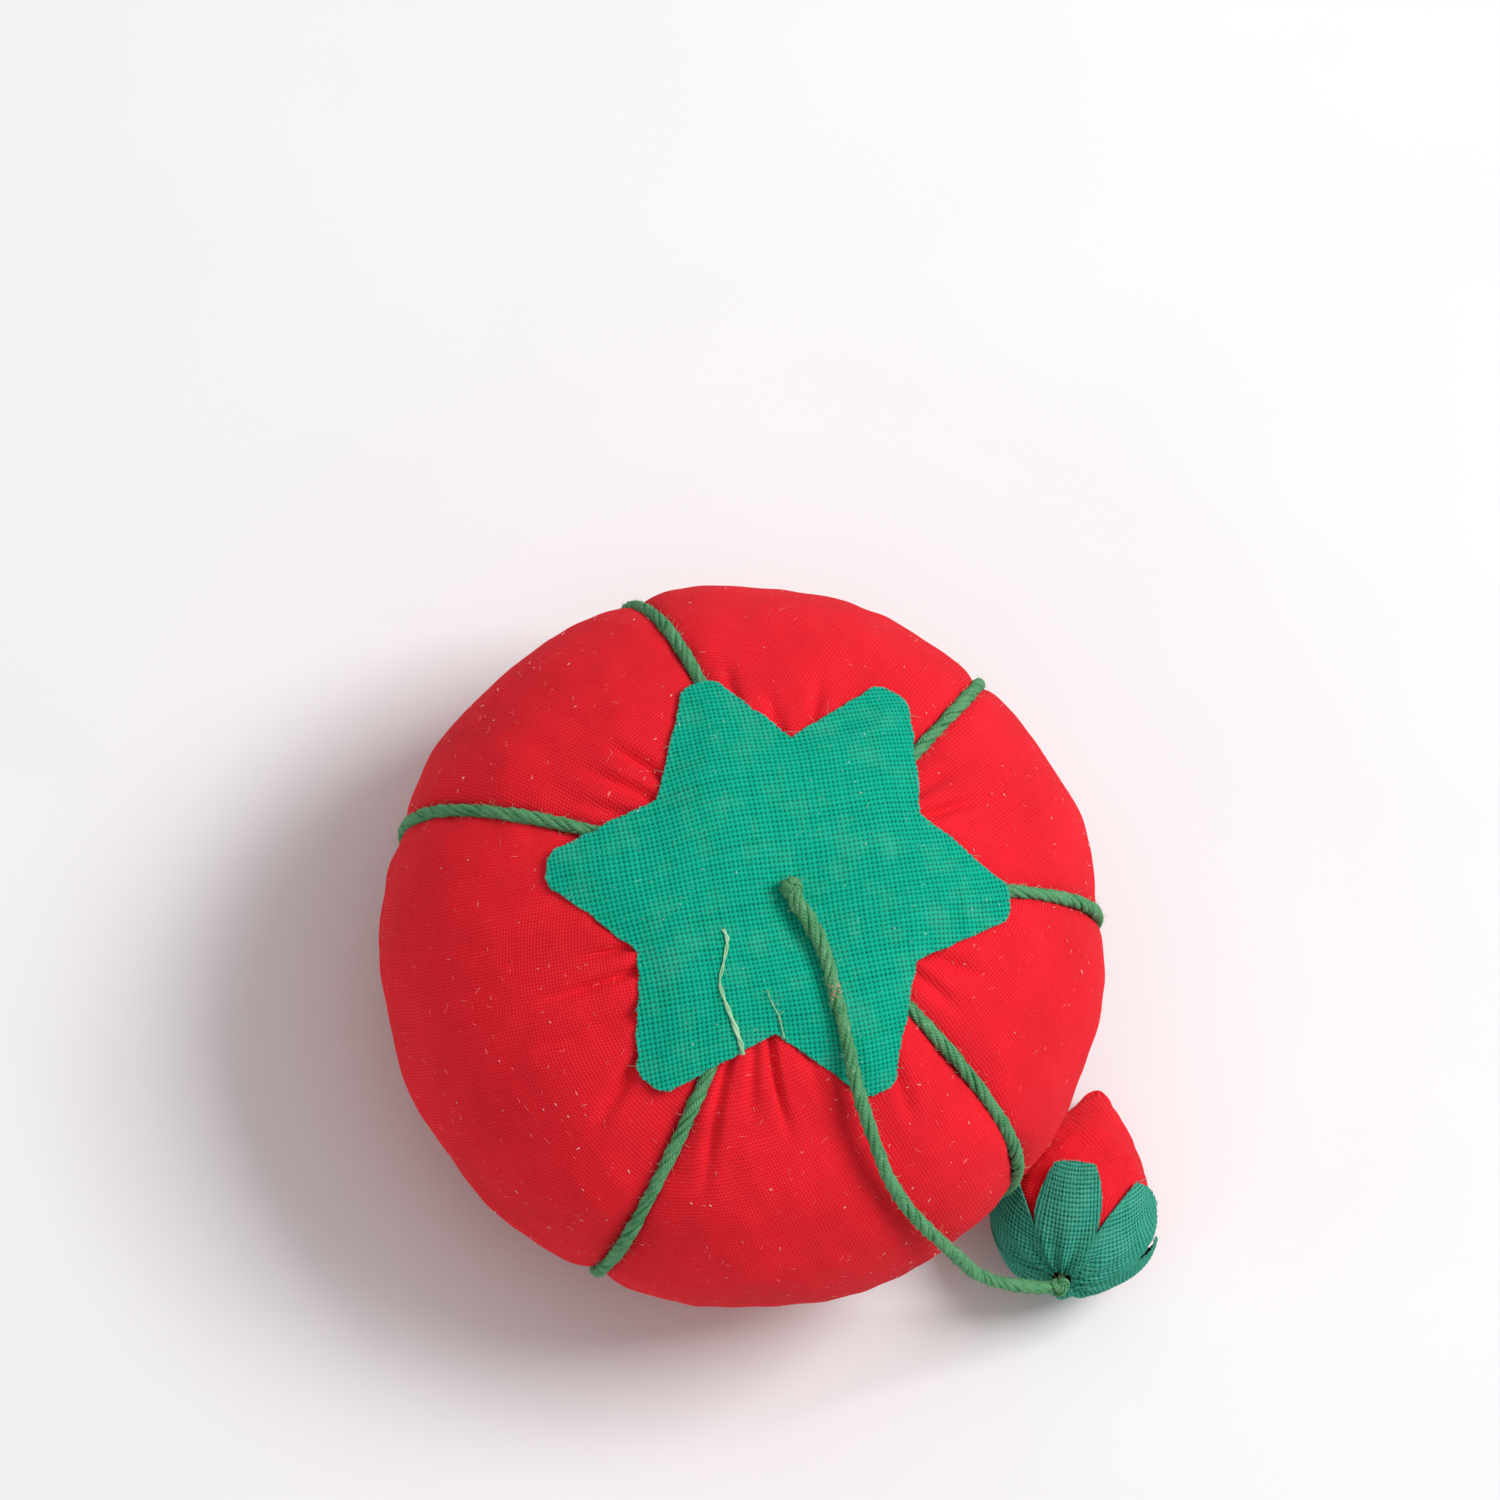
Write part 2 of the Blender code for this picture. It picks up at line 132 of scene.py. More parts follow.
def grid_faces(rows, columns, closed):
    """Faces of a grid of points, row by row; a closed one joins its last column to its first."""
    across = columns if closed else columns - 1
    row, column = np.meshgrid(np.arange(rows - 1), np.arange(across), indexing="ij")
    following = (column + 1) % columns
    corners = (row * columns + column, (row + 1) * columns + column)
    beyond = ((row + 1) * columns + following, row * columns + following)
    return np.stack([*corners, *beyond], -1).reshape(-1, 4)


def placed(name, data):
    """A new object in the scene."""
    item = bpy.data.objects.new(name, data)
    bpy.context.scene.collection.objects.link(item)
    return item


class Shape:
    """Points and faces of one piece, gathered from parts, with cloth coordinates and a relief value."""

    def __init__(self):
        self.points, self.faces, self.cloth, self.relief, self.material = [], [], [], [], []
        self.count = 0

    def add(self, points, faces, cloth=None, relief=None, material=0):
        """cloth is one pair of coordinates for each point, or for each corner of each face."""
        points = np.asarray(points, float).reshape(-1, 3)
        faces = np.asarray(faces, int)
        cloth = np.zeros((len(points), 2)) if cloth is None else np.asarray(cloth, float)
        if cloth.ndim == 2:
            cloth = cloth[faces]
        self.points.append(points)
        self.faces.append(faces + self.count)
        self.cloth.append(cloth)
        self.relief.append(np.ones(len(points)) if relief is None else np.asarray(relief, float).ravel())
        self.material.append(np.full(len(faces), material))
        self.count += len(points)

    def piece(self, name, materials, body, slot, *nodes):
        """The finished object, riding on its body and standing for the named CAD nodes."""
        mesh = bpy.data.meshes.new(name)
        faces = [face for part in self.faces for face in part.tolist()]
        mesh.from_pydata(np.concatenate(self.points).tolist(), [], faces)
        layer = mesh.uv_layers.new(name="cloth")
        layer.data.foreach_set("uv", np.concatenate([part.reshape(-1, 2) for part in self.cloth]).ravel())
        relief = mesh.attributes.new("relief", "FLOAT", "POINT")
        relief.data.foreach_set("value", np.concatenate(self.relief).astype(np.float32))
        mesh.polygons.foreach_set("material_index", np.concatenate(self.material).astype(np.int32))
        mesh.shade_smooth()
        for material in materials:
            mesh.materials.append(material)
        item = placed(name, mesh)
        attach(item, body)
        if nodes:
            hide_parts(*nodes)
        return item


# Node materials


class Look:
    """A node material with one Principled shader; values are numbers or other nodes' outputs."""

    def __init__(self, name, roughness=0.9, sheen=0.0, sheen_tint=(1, 1, 1), specular=0.25):
        self.material = bpy.data.materials.new(name)
        self.material.use_nodes = True
        self.tree = self.material.node_tree
        self.shader = self.tree.nodes["Principled BSDF"]
        self.shader.inputs["Roughness"].default_value = roughness
        self.shader.inputs["Sheen Weight"].default_value = sheen
        self.shader.inputs["Sheen Roughness"].default_value = 0.5
        self.shader.inputs["Sheen Tint"].default_value = (*sheen_tint, 1.0)
        self.shader.inputs["Specular IOR Level"].default_value = specular

    def put(self, socket, value):
        if isinstance(value, bpy.types.NodeSocket):
            self.tree.links.new(value, socket)
        else:
            socket.default_value = value

    def node(self, kind, inputs=(), **settings):
        made = self.tree.nodes.new(kind)
        for name, value in settings.items():
            setattr(made, name, value)
        for place, value in dict(inputs).items():
            self.put(made.inputs[place], value)
        return made

    def math(self, operation, first, second=0.0, third=0.0):
        made = self.node("ShaderNodeMath", {0: first, 1: second, 2: third}, operation=operation)
        return made.outputs[0]

    def cloth(self):
        return self.node("ShaderNodeUVMap", uv_map="cloth").outputs[0]

    def place(self):
        return self.node("ShaderNodeTexCoord").outputs["Object"]

    def scaled(self, vector, factors):
        made = self.node("ShaderNodeVectorMath", {0: vector, 1: factors}, operation="MULTIPLY")
        return made.outputs[0]

    def noise(self, vector, scale, detail=2.0, roughness=0.5):
        inputs = {"Vector": vector, "Scale": scale, "Detail": detail, "Roughness": roughness}
        return self.node("ShaderNodeTexNoise", inputs).outputs[0]

    def ramp(self, value, *stops):
        """A colour ramp with stops of (position, colour)."""
        made = self.node("ShaderNodeValToRGB", {0: value})
        elements = made.color_ramp.elements
        while len(elements) < len(stops):
            elements.new(0.5)
        for element, (position, colour) in zip(elements, stops):
            element.position = position
            element.color = (*colour, 1.0)
        return made.outputs[0]

    def mix(self, share, first, second, blend="MIX"):
        made = self.node("ShaderNodeMix", data_type="RGBA", blend_type=blend, clamp_factor=True)
        self.put(made.inputs[0], share)
        self.put(made.inputs[6], first if isinstance(first, bpy.types.NodeSocket) else (*first, 1.0))
        self.put(made.inputs[7], second if isinstance(second, bpy.types.NodeSocket) else (*second, 1.0))
        return made.outputs[2]

    def range(self, value, low, high, to_low=0.0, to_high=1.0):
        inputs = {0: value, 1: low, 2: high, 3: to_low, 4: to_high}
        return self.node("ShaderNodeMapRange", inputs, clamp=True).outputs[0]

    def finish(self, colour, height=None, depth=0.05 * MM, strength=1.0):
        """Links the colour, and a bump whose height of 1 stands for depth."""
        self.put(self.shader.inputs["Base Color"], colour)
        if height is not None:
            inputs = {"Strength": strength, "Distance": depth, "Height": height}
            self.put(self.shader.inputs["Normal"], self.node("ShaderNodeBump", inputs).outputs[0])
        return self.material


def over_and_under(look, thread_x, thread_y):
    """Height of a plain weave with threads at whole numbers: -0.6 in its holes, 1 on top of a crossing."""
    turn_x = look.math("COSINE", look.math("MULTIPLY", thread_x, pi))
    turn_y = look.math("COSINE", look.math("MULTIPLY", thread_y, pi))
    heights = []
    for own, other, way in ((turn_x, turn_y, 0.4), (turn_y, turn_x, -0.4)):
        body = look.math("MULTIPLY_ADD", look.math("MULTIPLY", own, own), 1.2, -0.6)
        wave = look.math("MULTIPLY", look.math("MULTIPLY", other, look.math("SIGN", own)), way)
        heights.append(look.math("ADD", body, wave))
    return look.math("MAXIMUM", *heights)


def fine_cotton(name, shades, lint, mottle=0.08, relief=0.026 * MM):
    """Fine plain-weave cotton from its cloth coordinates, in threads. shades are dark, usual and light: the
    dark one is painted shade in the weave's holes, the light one a painted highlight on the crossings.
    """
    look = Look(name, roughness=0.92, sheen=0.25, sheen_tint=shades[2], specular=0.15)
    cloth = look.cloth()
    drift = look.node("ShaderNodeTexNoise", {"Vector": cloth, "Scale": 0.11, "Detail": 2.0})
    from_middle = {0: drift.outputs["Color"], 1: (0.5, 0.5, 0.5)}
    centred = look.node("ShaderNodeVectorMath", from_middle, operation="SUBTRACT")
    spread = {0: centred.outputs[0], 1: (1.1, 1.1, 0.0), 2: cloth}
    moved = look.node("ShaderNodeVectorMath", spread, operation="MULTIPLY_ADD")
    threads = look.node("ShaderNodeSeparateXYZ", {0: moved.outputs[0]})
    height = over_and_under(look, threads.outputs[0], threads.outputs[1])
    warp_tone = look.noise(look.scaled(moved.outputs[0], (1.0, 0.05, 1.0)), 0.9)
    weft_tone = look.noise(look.scaled(moved.outputs[0], (0.05, 1.0, 1.0)), 0.9)
    tone = look.math("ADD", warp_tone, weft_tone)
    uneven = look.math("MULTIPLY_ADD", look.math("SUBTRACT", tone, 1.0), 0.5, height)
    # Painted shade in the weave's holes and painted highlight on the crossings, with the threads' random
    # tone.
    weave_with_painted_shade = look.ramp(look.range(uneven, -0.9, 1.2), (0.0, shades[0]), (0.5, shades[1]), (1.0, shades[2]))
    patches = look.range(look.noise(look.place(), 170.0, 3.0), 0.3, 0.7, 1 - mottle, 1 + mottle)
    grey = look.node("ShaderNodeCombineColor", {0: patches, 1: patches, 2: patches}).outputs[0]
    toned = look.mix(1.0, weave_with_painted_shade, grey, "MULTIPLY")
    slub = look.noise(look.scaled(cloth, (0.35, 0.9, 1.0)), 0.8, 1.0)
    nubs = look.math("MULTIPLY", look.range(slub, 0.74, 0.80), 0.35)
    fibres = look.noise(cloth, 3.2, 2.0)
    bumps = look.math("MULTIPLY_ADD", fibres, 0.5, height)
    return look.finish(look.mix(nubs, toned, lint), bumps, relief)


def open_cotton(name, shades, lint):
    """Coarser cotton whose threads are in the mesh: the colour follows the relief, with painted shade in the
    holes and a painted highlight on the thread tops.
    """
    look = Look(name, roughness=0.95, sheen=0.2, sheen_tint=shades[2], specular=0.12)
    cloth = look.cloth()
    relief = look.node("ShaderNodeAttribute", attribute_name="relief").outputs["Fac"]
    along = look.noise(look.scaled(cloth, (1.0, 0.04, 1.0)), 0.8)
    across = look.noise(look.scaled(cloth, (0.04, 1.0, 1.0)), 0.8)
    tone = look.math("SUBTRACT", look.math("ADD", along, across), 1.0)
    uneven = look.math("MULTIPLY_ADD", tone, 0.3, relief)
    # Painted shade in the holes and painted highlight on the thread tops, from the relief, with the threads'
    # random tone.
    weave_with_painted_shade = look.ramp(uneven, (0.26, shades[0]), (0.55, shades[1]), (0.95, shades[2]))
    haze = look.range(look.noise(look.place(), 420.0, 4.0, 0.6), 0.5, 0.8, 0.0, 0.3)
    slub = look.noise(look.scaled(cloth, (0.5, 1.0, 1.0)), 0.55, 1.0)
    specks = look.math("MULTIPLY", look.range(slub, 0.77, 0.83), 0.4)
    nubs = look.math("MAXIMUM", specks, look.math("MULTIPLY", haze, 0.22))
    fibres = look.noise(cloth, 3.0, 3.0, 0.6)
    return look.finish(look.mix(nubs, weave_with_painted_shade, lint), fibres, 0.03 * MM)


def cord_look(name, shades, lint):
    """Twisted cotton: the coordinates run along and round each strand, and relief is 0 between strands, where
    the colour is painted shade; the strands' outsides get a painted highlight.
    """
    look = Look(name, roughness=0.9, sheen=0.35, sheen_tint=shades[2], specular=0.15)
    cloth = look.cloth()
    relief = look.node("ShaderNodeAttribute", attribute_name="relief").outputs["Fac"]
    axes = look.node("ShaderNodeSeparateXYZ", {0: cloth})
    slant = look.math("MULTIPLY_ADD", axes.outputs[1], 5.0, look.math("MULTIPLY", axes.outputs[0], 4.5))
    wander = look.math("MULTIPLY", look.noise(cloth, 2.0, 2.0), 1.5)
    fibres = look.math("SINE", look.math("MULTIPLY", look.math("ADD", slant, wander), tau))
    tone = look.math("MULTIPLY_ADD", fibres, 0.12, relief)
    patch = look.math("MULTIPLY_ADD", look.math("SUBTRACT", look.noise(cloth, 0.8, 3.0), 0.5), 1.3, tone)
    # Painted shade in the grooves between strands and painted highlight on their outsides, with random
    # patches.
    twisted = look.ramp(patch, (0.05, shades[0]), (0.62, shades[1]), (1.0, shades[2]))
    nubs = look.math("MULTIPLY", look.range(look.noise(cloth, 1.7, 2.0), 0.62, 0.75), 0.35)
    return look.finish(look.mix(nubs, twisted, lint), fibres, 0.02 * MM, 0.7)


def hair_look(name, dark, light):
    """Loose fibres and lint, each a slightly different shade."""
    look = Look(name, roughness=0.8, sheen=0.3, specular=0.2)
    return look.finish(look.ramp(look.noise(look.place(), 900.0, 1.0), (0.35, dark), (0.65, light)))


def grain_look(name, dark, light, scale, depth, roughness=0.9):
    """Stuffing or grit."""
    look = Look(name, roughness=roughness)
    grain = look.noise(look.place(), scale, 4.0, 0.65)
    return look.finish(look.ramp(grain, (0.35, dark), (0.65, light)), grain, depth)


# Dark, usual and light colours of each cloth: the dark one is painted shade in weave holes and between cord
# strands, the light one a painted highlight on thread tops and strand outsides.
RED_SHADES = ((0.60, 0.003, 0.009), (0.76, 0.009, 0.020), (0.84, 0.026, 0.040))
STAR_SHADES = ((0.0, 0.050, 0.034), (0.0, 0.300, 0.185), (0.006, 0.430, 0.285))
CAP_SHADES = ((0.006, 0.060, 0.042), (0.018, 0.245, 0.165), (0.070, 0.400, 0.290))
CORD_SHADES = ((0.009, 0.065, 0.022), (0.032, 0.185, 0.066), (0.110, 0.320, 0.150))
PALE_GREEN = (0.42, 0.68, 0.44)

tomato_cotton = fine_cotton("tomato_cotton", RED_SHADES, (1.0, 0.42, 0.40))
strawberry_cotton = fine_cotton("strawberry_cotton", RED_SHADES, (1.0, 0.45, 0.45), mottle=0.16)
star_cotton = open_cotton("star_cotton", STAR_SHADES, (0.42, 0.78, 0.62))
cap_cotton = open_cotton("cap_cotton", CAP_SHADES, (0.45, 0.72, 0.60))
green_cord = cord_look("green_cord", CORD_SHADES, (0.40, 0.62, 0.38))
green_fuzz = hair_look("green_fuzz", (0.08, 0.33, 0.12), (0.36, 0.60, 0.36))
red_fuzz = hair_look("red_fuzz", (0.85, 0.10, 0.12), (1.0, 0.55, 0.52))
cut_ends = hair_look("cut_ends", (0.0, 0.24, 0.155), (0.08, 0.44, 0.31))
star_fuzz = hair_look("star_fuzz", (0.05, 0.48, 0.32), (0.42, 0.75, 0.58))
pale_lint = hair_look("pale_lint", (0.85, 0.55, 0.50), (0.95, 0.85, 0.80))
pale_thread = hair_look("pale_thread", (0.25, 0.55, 0.30), PALE_GREEN)


# Camera: its position follows from the lean, so that it looks as the photograph does


def make_camera():
    lean_way = Vector((cos(LEAN_AZIMUTH), sin(LEAN_AZIMUTH), 0.0))
    side = Vector((-lean_way.y, lean_way.x, 0.0))
    up = Vector((0.0, 0.0, 1.0))
    tilted = lean_way * cos(LEAN) + up * sin(LEAN)
    right = tilted * cos(LEAN_AZIMUTH) - side * sin(LEAN_AZIMUTH)
    picture_up = tilted * sin(LEAN_AZIMUTH) + side * cos(LEAN_AZIMUTH)
    back = up * cos(LEAN) - lean_way * sin(LEAN)
    aim = Vector((AXIS_X, 0.0, TOMATO_HEIGHT / 2)) + right * AIM_RIGHT + picture_up * AIM_UP
    data = bpy.data.cameras.new("camera")
    data.sensor_width = 36.0
    data.lens = data.sensor_width * CAMERA_DISTANCE / FRAME_WIDTH
    data.clip_start = 0.01
    item = placed("camera", data)
    turn = Matrix((right, picture_up, back)).transposed().to_4x4()
    item.matrix_world = Matrix.Translation(aim + back * CAMERA_DISTANCE) @ turn
    bpy.context.scene.camera = item
    return right, picture_up


picture_right, picture_up = make_camera()


# Cords: strands twisted round a path


def smooth_route(points, steps):
    """A smooth curve through the points, with a number of steps from each to the next."""
    ends = [points[0], *points, points[-1]]
    knots = [np.array(point, float) for point in ends]
    result = []
    for before, here, there, after in zip(knots, knots[1:], knots[2:], knots[3:]):
        for step in range(steps):
            t = step / steps
            pull = (there - before) * t + (2 * before - 5 * here + 4 * there - after) * t * t
            result.append(here + 0.5 * (pull + (3 * here - before - 3 * there + after) * t ** 3))
    return np.array([*result, knots[-1]])


def spaced(path, step):
    """The path again, with its points an equal step apart, and the distance along it of each."""
    lengths = distance_along(path)
    along = np.linspace(0.0, lengths[-1], max(int(ceil(lengths[-1] / step)) + 1, 4))
    return np.stack([np.interp(along, lengths, path[:, axis]) for axis in range(3)], -1), along


def carried_frames(path):
    """Two directions across the path at each point, which turn as little as they can along it."""
    tangents = unit(np.gradient(path, axis=0))
    first = np.cross(tangents[0], (0.3, 0.2, 1.0) if abs(tangents[0][2]) < 0.9 else (1.0, 0.2, 0.1))
    firsts = [first / np.linalg.norm(first)]
    for tangent in tangents[1:]:
        turned = firsts[-1] - tangent * (firsts[-1] @ tangent)
        firsts.append(turned / np.linalg.norm(turned))
    firsts = np.array(firsts)
    return tangents, firsts, np.cross(tangents, firsts)


def spokes(angles, first, second):
    """Directions across a path at each point, by angle from the first of its two."""
    return np.cos(angles)[:, None] * first + np.sin(angles)[:, None] * second


def add_tube(shape, centres, radii, sides, material=0, outward=None, relief=None):
    """A closed round tube along the centres. outward, if given, sets where each ring starts."""
    tangents, first, second = carried_frames(centres)
    if outward is not None:
        first = unit(outward - tangents * np.sum(outward * tangents, -1, keepdims=True))
        second = np.cross(tangents, first)
    around = np.arange(sides) * tau / sides
    ring = np.cos(around)[None, :, None] * first[:, None] + np.sin(around)[None, :, None] * second[:, None]
    points = centres[:, None] + ring * np.asarray(radii, float).reshape(-1, 1, 1)
    rows = len(centres)
    lengths = distance_along(centres)[:, None] / MM
    cloth = np.stack(np.broadcast_arrays(lengths, np.arange(sides) / sides), -1)
    faces = grid_faces(rows, sides, True)
    corner_cloth = cloth.reshape(-1, 2)[faces]
    seam = corner_cloth[:, 2:, 1] < corner_cloth[:, :2, 1]
    corner_cloth[:, 2:, 1][seam] += 1.0
    values = None if relief is None else relief(points)
    shape.add(points, faces, corner_cloth, values, material)
    start = shape.count - rows * sides
    for ring_start, order in ((start, 1), (start + (rows - 1) * sides, -1)):
        cap = np.arange(sides)[::order] + ring_start
        middle = len(cap) // 2
        quads = [[cap[i], cap[-i - 1], cap[-i - 2], cap[i + 1]] for i in range(middle - 1)]
        shape.faces.append(np.array(quads)[:, ::-1])
        shape.cloth.append(np.zeros((len(quads), 4, 2)))
        shape.material.append(np.full(len(quads), material))


def add_hairs(shape, roots, directions, lengths, radius, material, seed, curl=0.5):
    """Short curved hairs from the roots, each a thin tube that narrows to its end."""
    random = seeded(seed)
    for root, direction, length in zip(roots, directions, lengths):
        bend = np.cross(direction, unit(random.normal(size=3))) * curl
        steps = np.linspace(0.0, 1.0, 4)[:, None]
        centres = root + length * (direction * steps + bend * steps ** 2)
        add_tube(shape, centres, radius * (1.0 - 0.6 * steps[:, 0]), 4, material)


STRAND_SHARE = 0.262  # a strand's radius as a share of the cord's diameter
STRAND_SIDES = 6
CORD_FIBRE = 0.014 * MM


def add_cord(
    shape, path, diameter, seed, strands=5, lay=5.2 * MM, swell=None, hairs_per_mm=9.0, step=0.16 * MM
):
    """A twisted cord: its strands wind round the path, and loose fibres stand out of it."""
    centre, along = spaced(path, step)
    tangents, first, second = carried_frames(centre)
    random = seeded(seed)
    strand_radius = diameter * STRAND_SHARE
    offset = diameter / 2 - strand_radius
    size = np.ones(len(centre)) if swell is None else swell(along)
    size = size * (1 + 0.05 * np.sin(along / (1.7 * MM) + seed) + 0.03 * np.sin(along / (0.6 * MM)))
    phase = tau * along / lay + 0.5 * np.sin(along / (4.1 * MM) + seed)

    def depth(points):
        """How far out each point lies: 0 near the middle of the cord and 1 on its outside, which the cord's
        look paints as shade between the strands and highlight on their outsides.
        """
        far = np.linalg.norm(points - centre[:, None], axis=-1) / (diameter / 2 * size[:, None])
        return smoothstep((far - 0.45) / 0.55)

    for strand in range(strands):
        wander = 0.22 * np.sin(along / (random.uniform(1.5, 3.0) * MM) + random.uniform(0, tau))
        angle = phase + tau * strand / strands + wander
        outward = spokes(angle, first, second)
        breath = 1 + 0.12 * np.sin(along / (random.uniform(0.8, 2.2) * MM) + random.uniform(0, tau))
        line = centre + outward * (offset * size)[:, None]
        add_tube(shape, line, strand_radius * size * breath, STRAND_SIDES, 0, outward, depth)
    count = int(hairs_per_mm * along[-1] / MM)
    at = random.integers(2, len(centre) - 2, count)
    around = random.uniform(0, tau, count)
    out = spokes(around, first[at], second[at])
    roots = centre[at] + out * (diameter * 0.42 * size[at])[:, None]
    way = tangents[at] * random.choice([-1.0, 1.0], count)[:, None]
    leaning = unit(out * 0.7 + way + random.normal(size=(count, 3)) * 0.35)
    lengths = random.uniform(0.2, 0.65, count) * MM
    add_hairs(shape, roots, leaning, lengths, CORD_FIBRE, 1, seed + 1)


TETHER_ROUTE = (
    (-0.00253, -0.00113, 0.03445),
    (-0.00180, -0.00230, 0.03442),
    (-0.00102, -0.00380, 0.03435),
    (-0.00045, -0.00540, 0.03421),
    (-0.00005, -0.00710, 0.03401),
    (0.00045, -0.00890, 0.03372),
    (0.00100, -0.01090, 0.03328),
    (0.00150, -0.01300, 0.03268),
    (0.00225, -0.01510, 0.03187),
    (0.00320, -0.01715, 0.03071),
    (0.00432, -0.01906, 0.02907),
    (0.00587, -0.02072, 0.02708),
    (0.00787, -0.02195, 0.02460),
    (0.01001, -0.02264, 0.02137),
    (0.01180, -0.02300, 0.01800),
    (0.01352, -0.02322, 0.01480),
    (0.01580, -0.02330, 0.01165),
    (0.01832, -0.02315, 0.00942),
    (0.02003, -0.02303, 0.00857),
)
CAUGHT_LINT_PLACE = 7.6 * MM
CAUGHT_LINT_FIBRES = 34


def add_caught_lint(shape, route):
    """The pinch of red lint that is caught on the upper side of the cord, near its start."""
    step = 0.1 * MM
    path, _ = spaced(route, step)
    random = seeded(13)
    count = CAUGHT_LINT_FIBRES
    at = round(CAUGHT_LINT_PLACE / step) + random.integers(-4, 5, count)
    out = unit(random.normal(size=(count, 3)) * (0.6, 0.6, 0.3) + (0, 0, 1))
    lying = unit(np.cross(out, random.normal(size=(count, 3))) + out * 0.15)
    roots = path[at] + out * CORD_DIAMETER * 0.5
    add_hairs(shape, roots, lying, random.uniform(0.12, 0.32, count) * MM, 0.022 * MM, 2, 14)


def make_tether():
    start = np.array(TETHER_PIVOT) * 0.75 + np.array(TETHER_ROUTE[0]) * 0.25
    end = np.array(NECK) * 0.4 + np.array(TETHER_ROUTE[-1]) * 0.6
    route = smooth_route([start, *TETHER_ROUTE, end], 8)
    shape = Shape()

    def swell(along):
        return 1.0 + 0.26 * (1 - smoothstep((along - 2.2 * MM) / (2.6 * MM)))

    add_cord(shape, route, CORD_DIAMETER, 11, swell=swell, hairs_per_mm=12.0)
    add_caught_lint(shape, route)
    tether = shape.piece("tether", [green_cord, green_fuzz, red_fuzz], "tether", "green_cord", "tether_cord")


make_tether()


# The tomato's surface: a profile turned about its axis, with grooves under the cords, gathers and creases


def soft_floor(height, reach=0.5 * MM):
    """The height, eased to 0 where the profile passes below the table."""
    eased = (height + reach) ** 2 / (4 * reach)
    return np.where(height > reach, height, np.where(height < -reach, 0.0, eased))


def crest(angle):
    """Radius, height and outward direction of the crest of the segments, by angle from the top pole."""

    def profile(a):
        share_out = np.sin(a) ** (2 / TOMATO_POWER)
        share_up = np.sign(np.cos(a)) * np.abs(np.cos(a)) ** (2 / TOMATO_POWER)
        height = soft_floor(HALF_HEIGHT * (1 + share_up) - TOMATO_SAG)
        return np.stack([TOMATO_RADIUS * share_out, height], -1)

    angle = np.asarray(angle, float)
    small = 0.012
    before = profile(np.maximum(angle - small, 1e-4))
    after = profile(np.minimum(angle + small, pi - 1e-4))
    along = unit(after - before)
    place = profile(angle)
    return place[..., 0], place[..., 1], np.stack([-along[..., 1], along[..., 0]], -1)


POLE_OPENING = 2.95 * MM  # radius where the gathered cloth turns down into the ball
PROFILE_ANGLES = np.linspace(0.005, pi - 0.005, 6000)
profile_radius, profile_height, _ = crest(PROFILE_ANGLES)
profile_arc = np.concatenate([[0.0], np.cumsum(np.hypot(np.diff(profile_radius), np.diff(profile_height)))])
TOP_HALF = PROFILE_ANGLES < pi / 2


def crest_place(radius):
    """Height and outward direction of the crest on the upper side, at a distance from the axis."""
    angle = np.interp(radius, profile_radius[TOP_HALF], PROFILE_ANGLES[TOP_HALF])
    _, height, outward = crest(angle)
    return height, outward


def arc_of_radius(radius):
    return np.interp(radius, profile_radius[TOP_HALF], profile_arc[TOP_HALF] + profile_radius[0])


def radius_of_arc(arc):
    return np.interp(arc, profile_arc[TOP_HALF] + profile_radius[0], profile_radius[TOP_HALF])


def thread_depth(angle):
    """Depth of the thread's centre below the crest."""
    low = np.clip((angle - pi / 2) / (pi / 4), 0.0, 1.0)
    return THREAD_DEPTH_TOP + (THREAD_DEPTH_BOTTOM - THREAD_DEPTH_TOP) * low


# Creases of the cloth on the upper side: azimuth and radius (mm) at the inner end and at the outer end, then
# depth and half width (mm)
CREASES = (
    (200, 11.0, 196, 16.2, 0.42, 0.32),
    (208, 11.2, 202, 20.0, 0.55, 0.36),
    (219, 12.6, 210, 21.5, 0.30, 0.55),
    (228, 14.5, 231, 21.5, 0.42, 0.45),
    (193, 10.5, 187, 14.5, 0.25, 0.45),
    (250, 12.0, 256, 22.5, 0.42, 0.38),
    (257, 10.8, 262, 17.0, 0.26, 0.50),
    (262, 10.0, 272, 17.5, 0.55, 0.34),
    (276, 11.0, 282, 16.0, 0.20, 0.60),
    (303, 13.5, 300, 19.5, 0.25, 0.50),
    (330, 10.0, 328, 15.5, 0.34, 0.45),
    (338, 10.5, 341, 16.5, 0.30, 0.50),
    (25, 11.0, 16, 14.0, 0.30, 0.45),
    (31, 11.0, 27, 17.5, 0.50, 0.40),
    (38, 12.0, 38, 16.5, 0.24, 0.55),
    (80, 11.5, 78, 17.0, 0.34, 0.42),
    (90, 11.0, 93, 16.0, 0.30, 0.50),
    (102, 14.0, 101, 18.5, 0.30, 0.40),
    (135, 12.0, 138, 17.0, 0.42, 0.40),
    (143, 11.0, 147, 18.0, 0.38, 0.42),
    (152, 12.0, 155, 17.0, 0.25, 0.50),
)


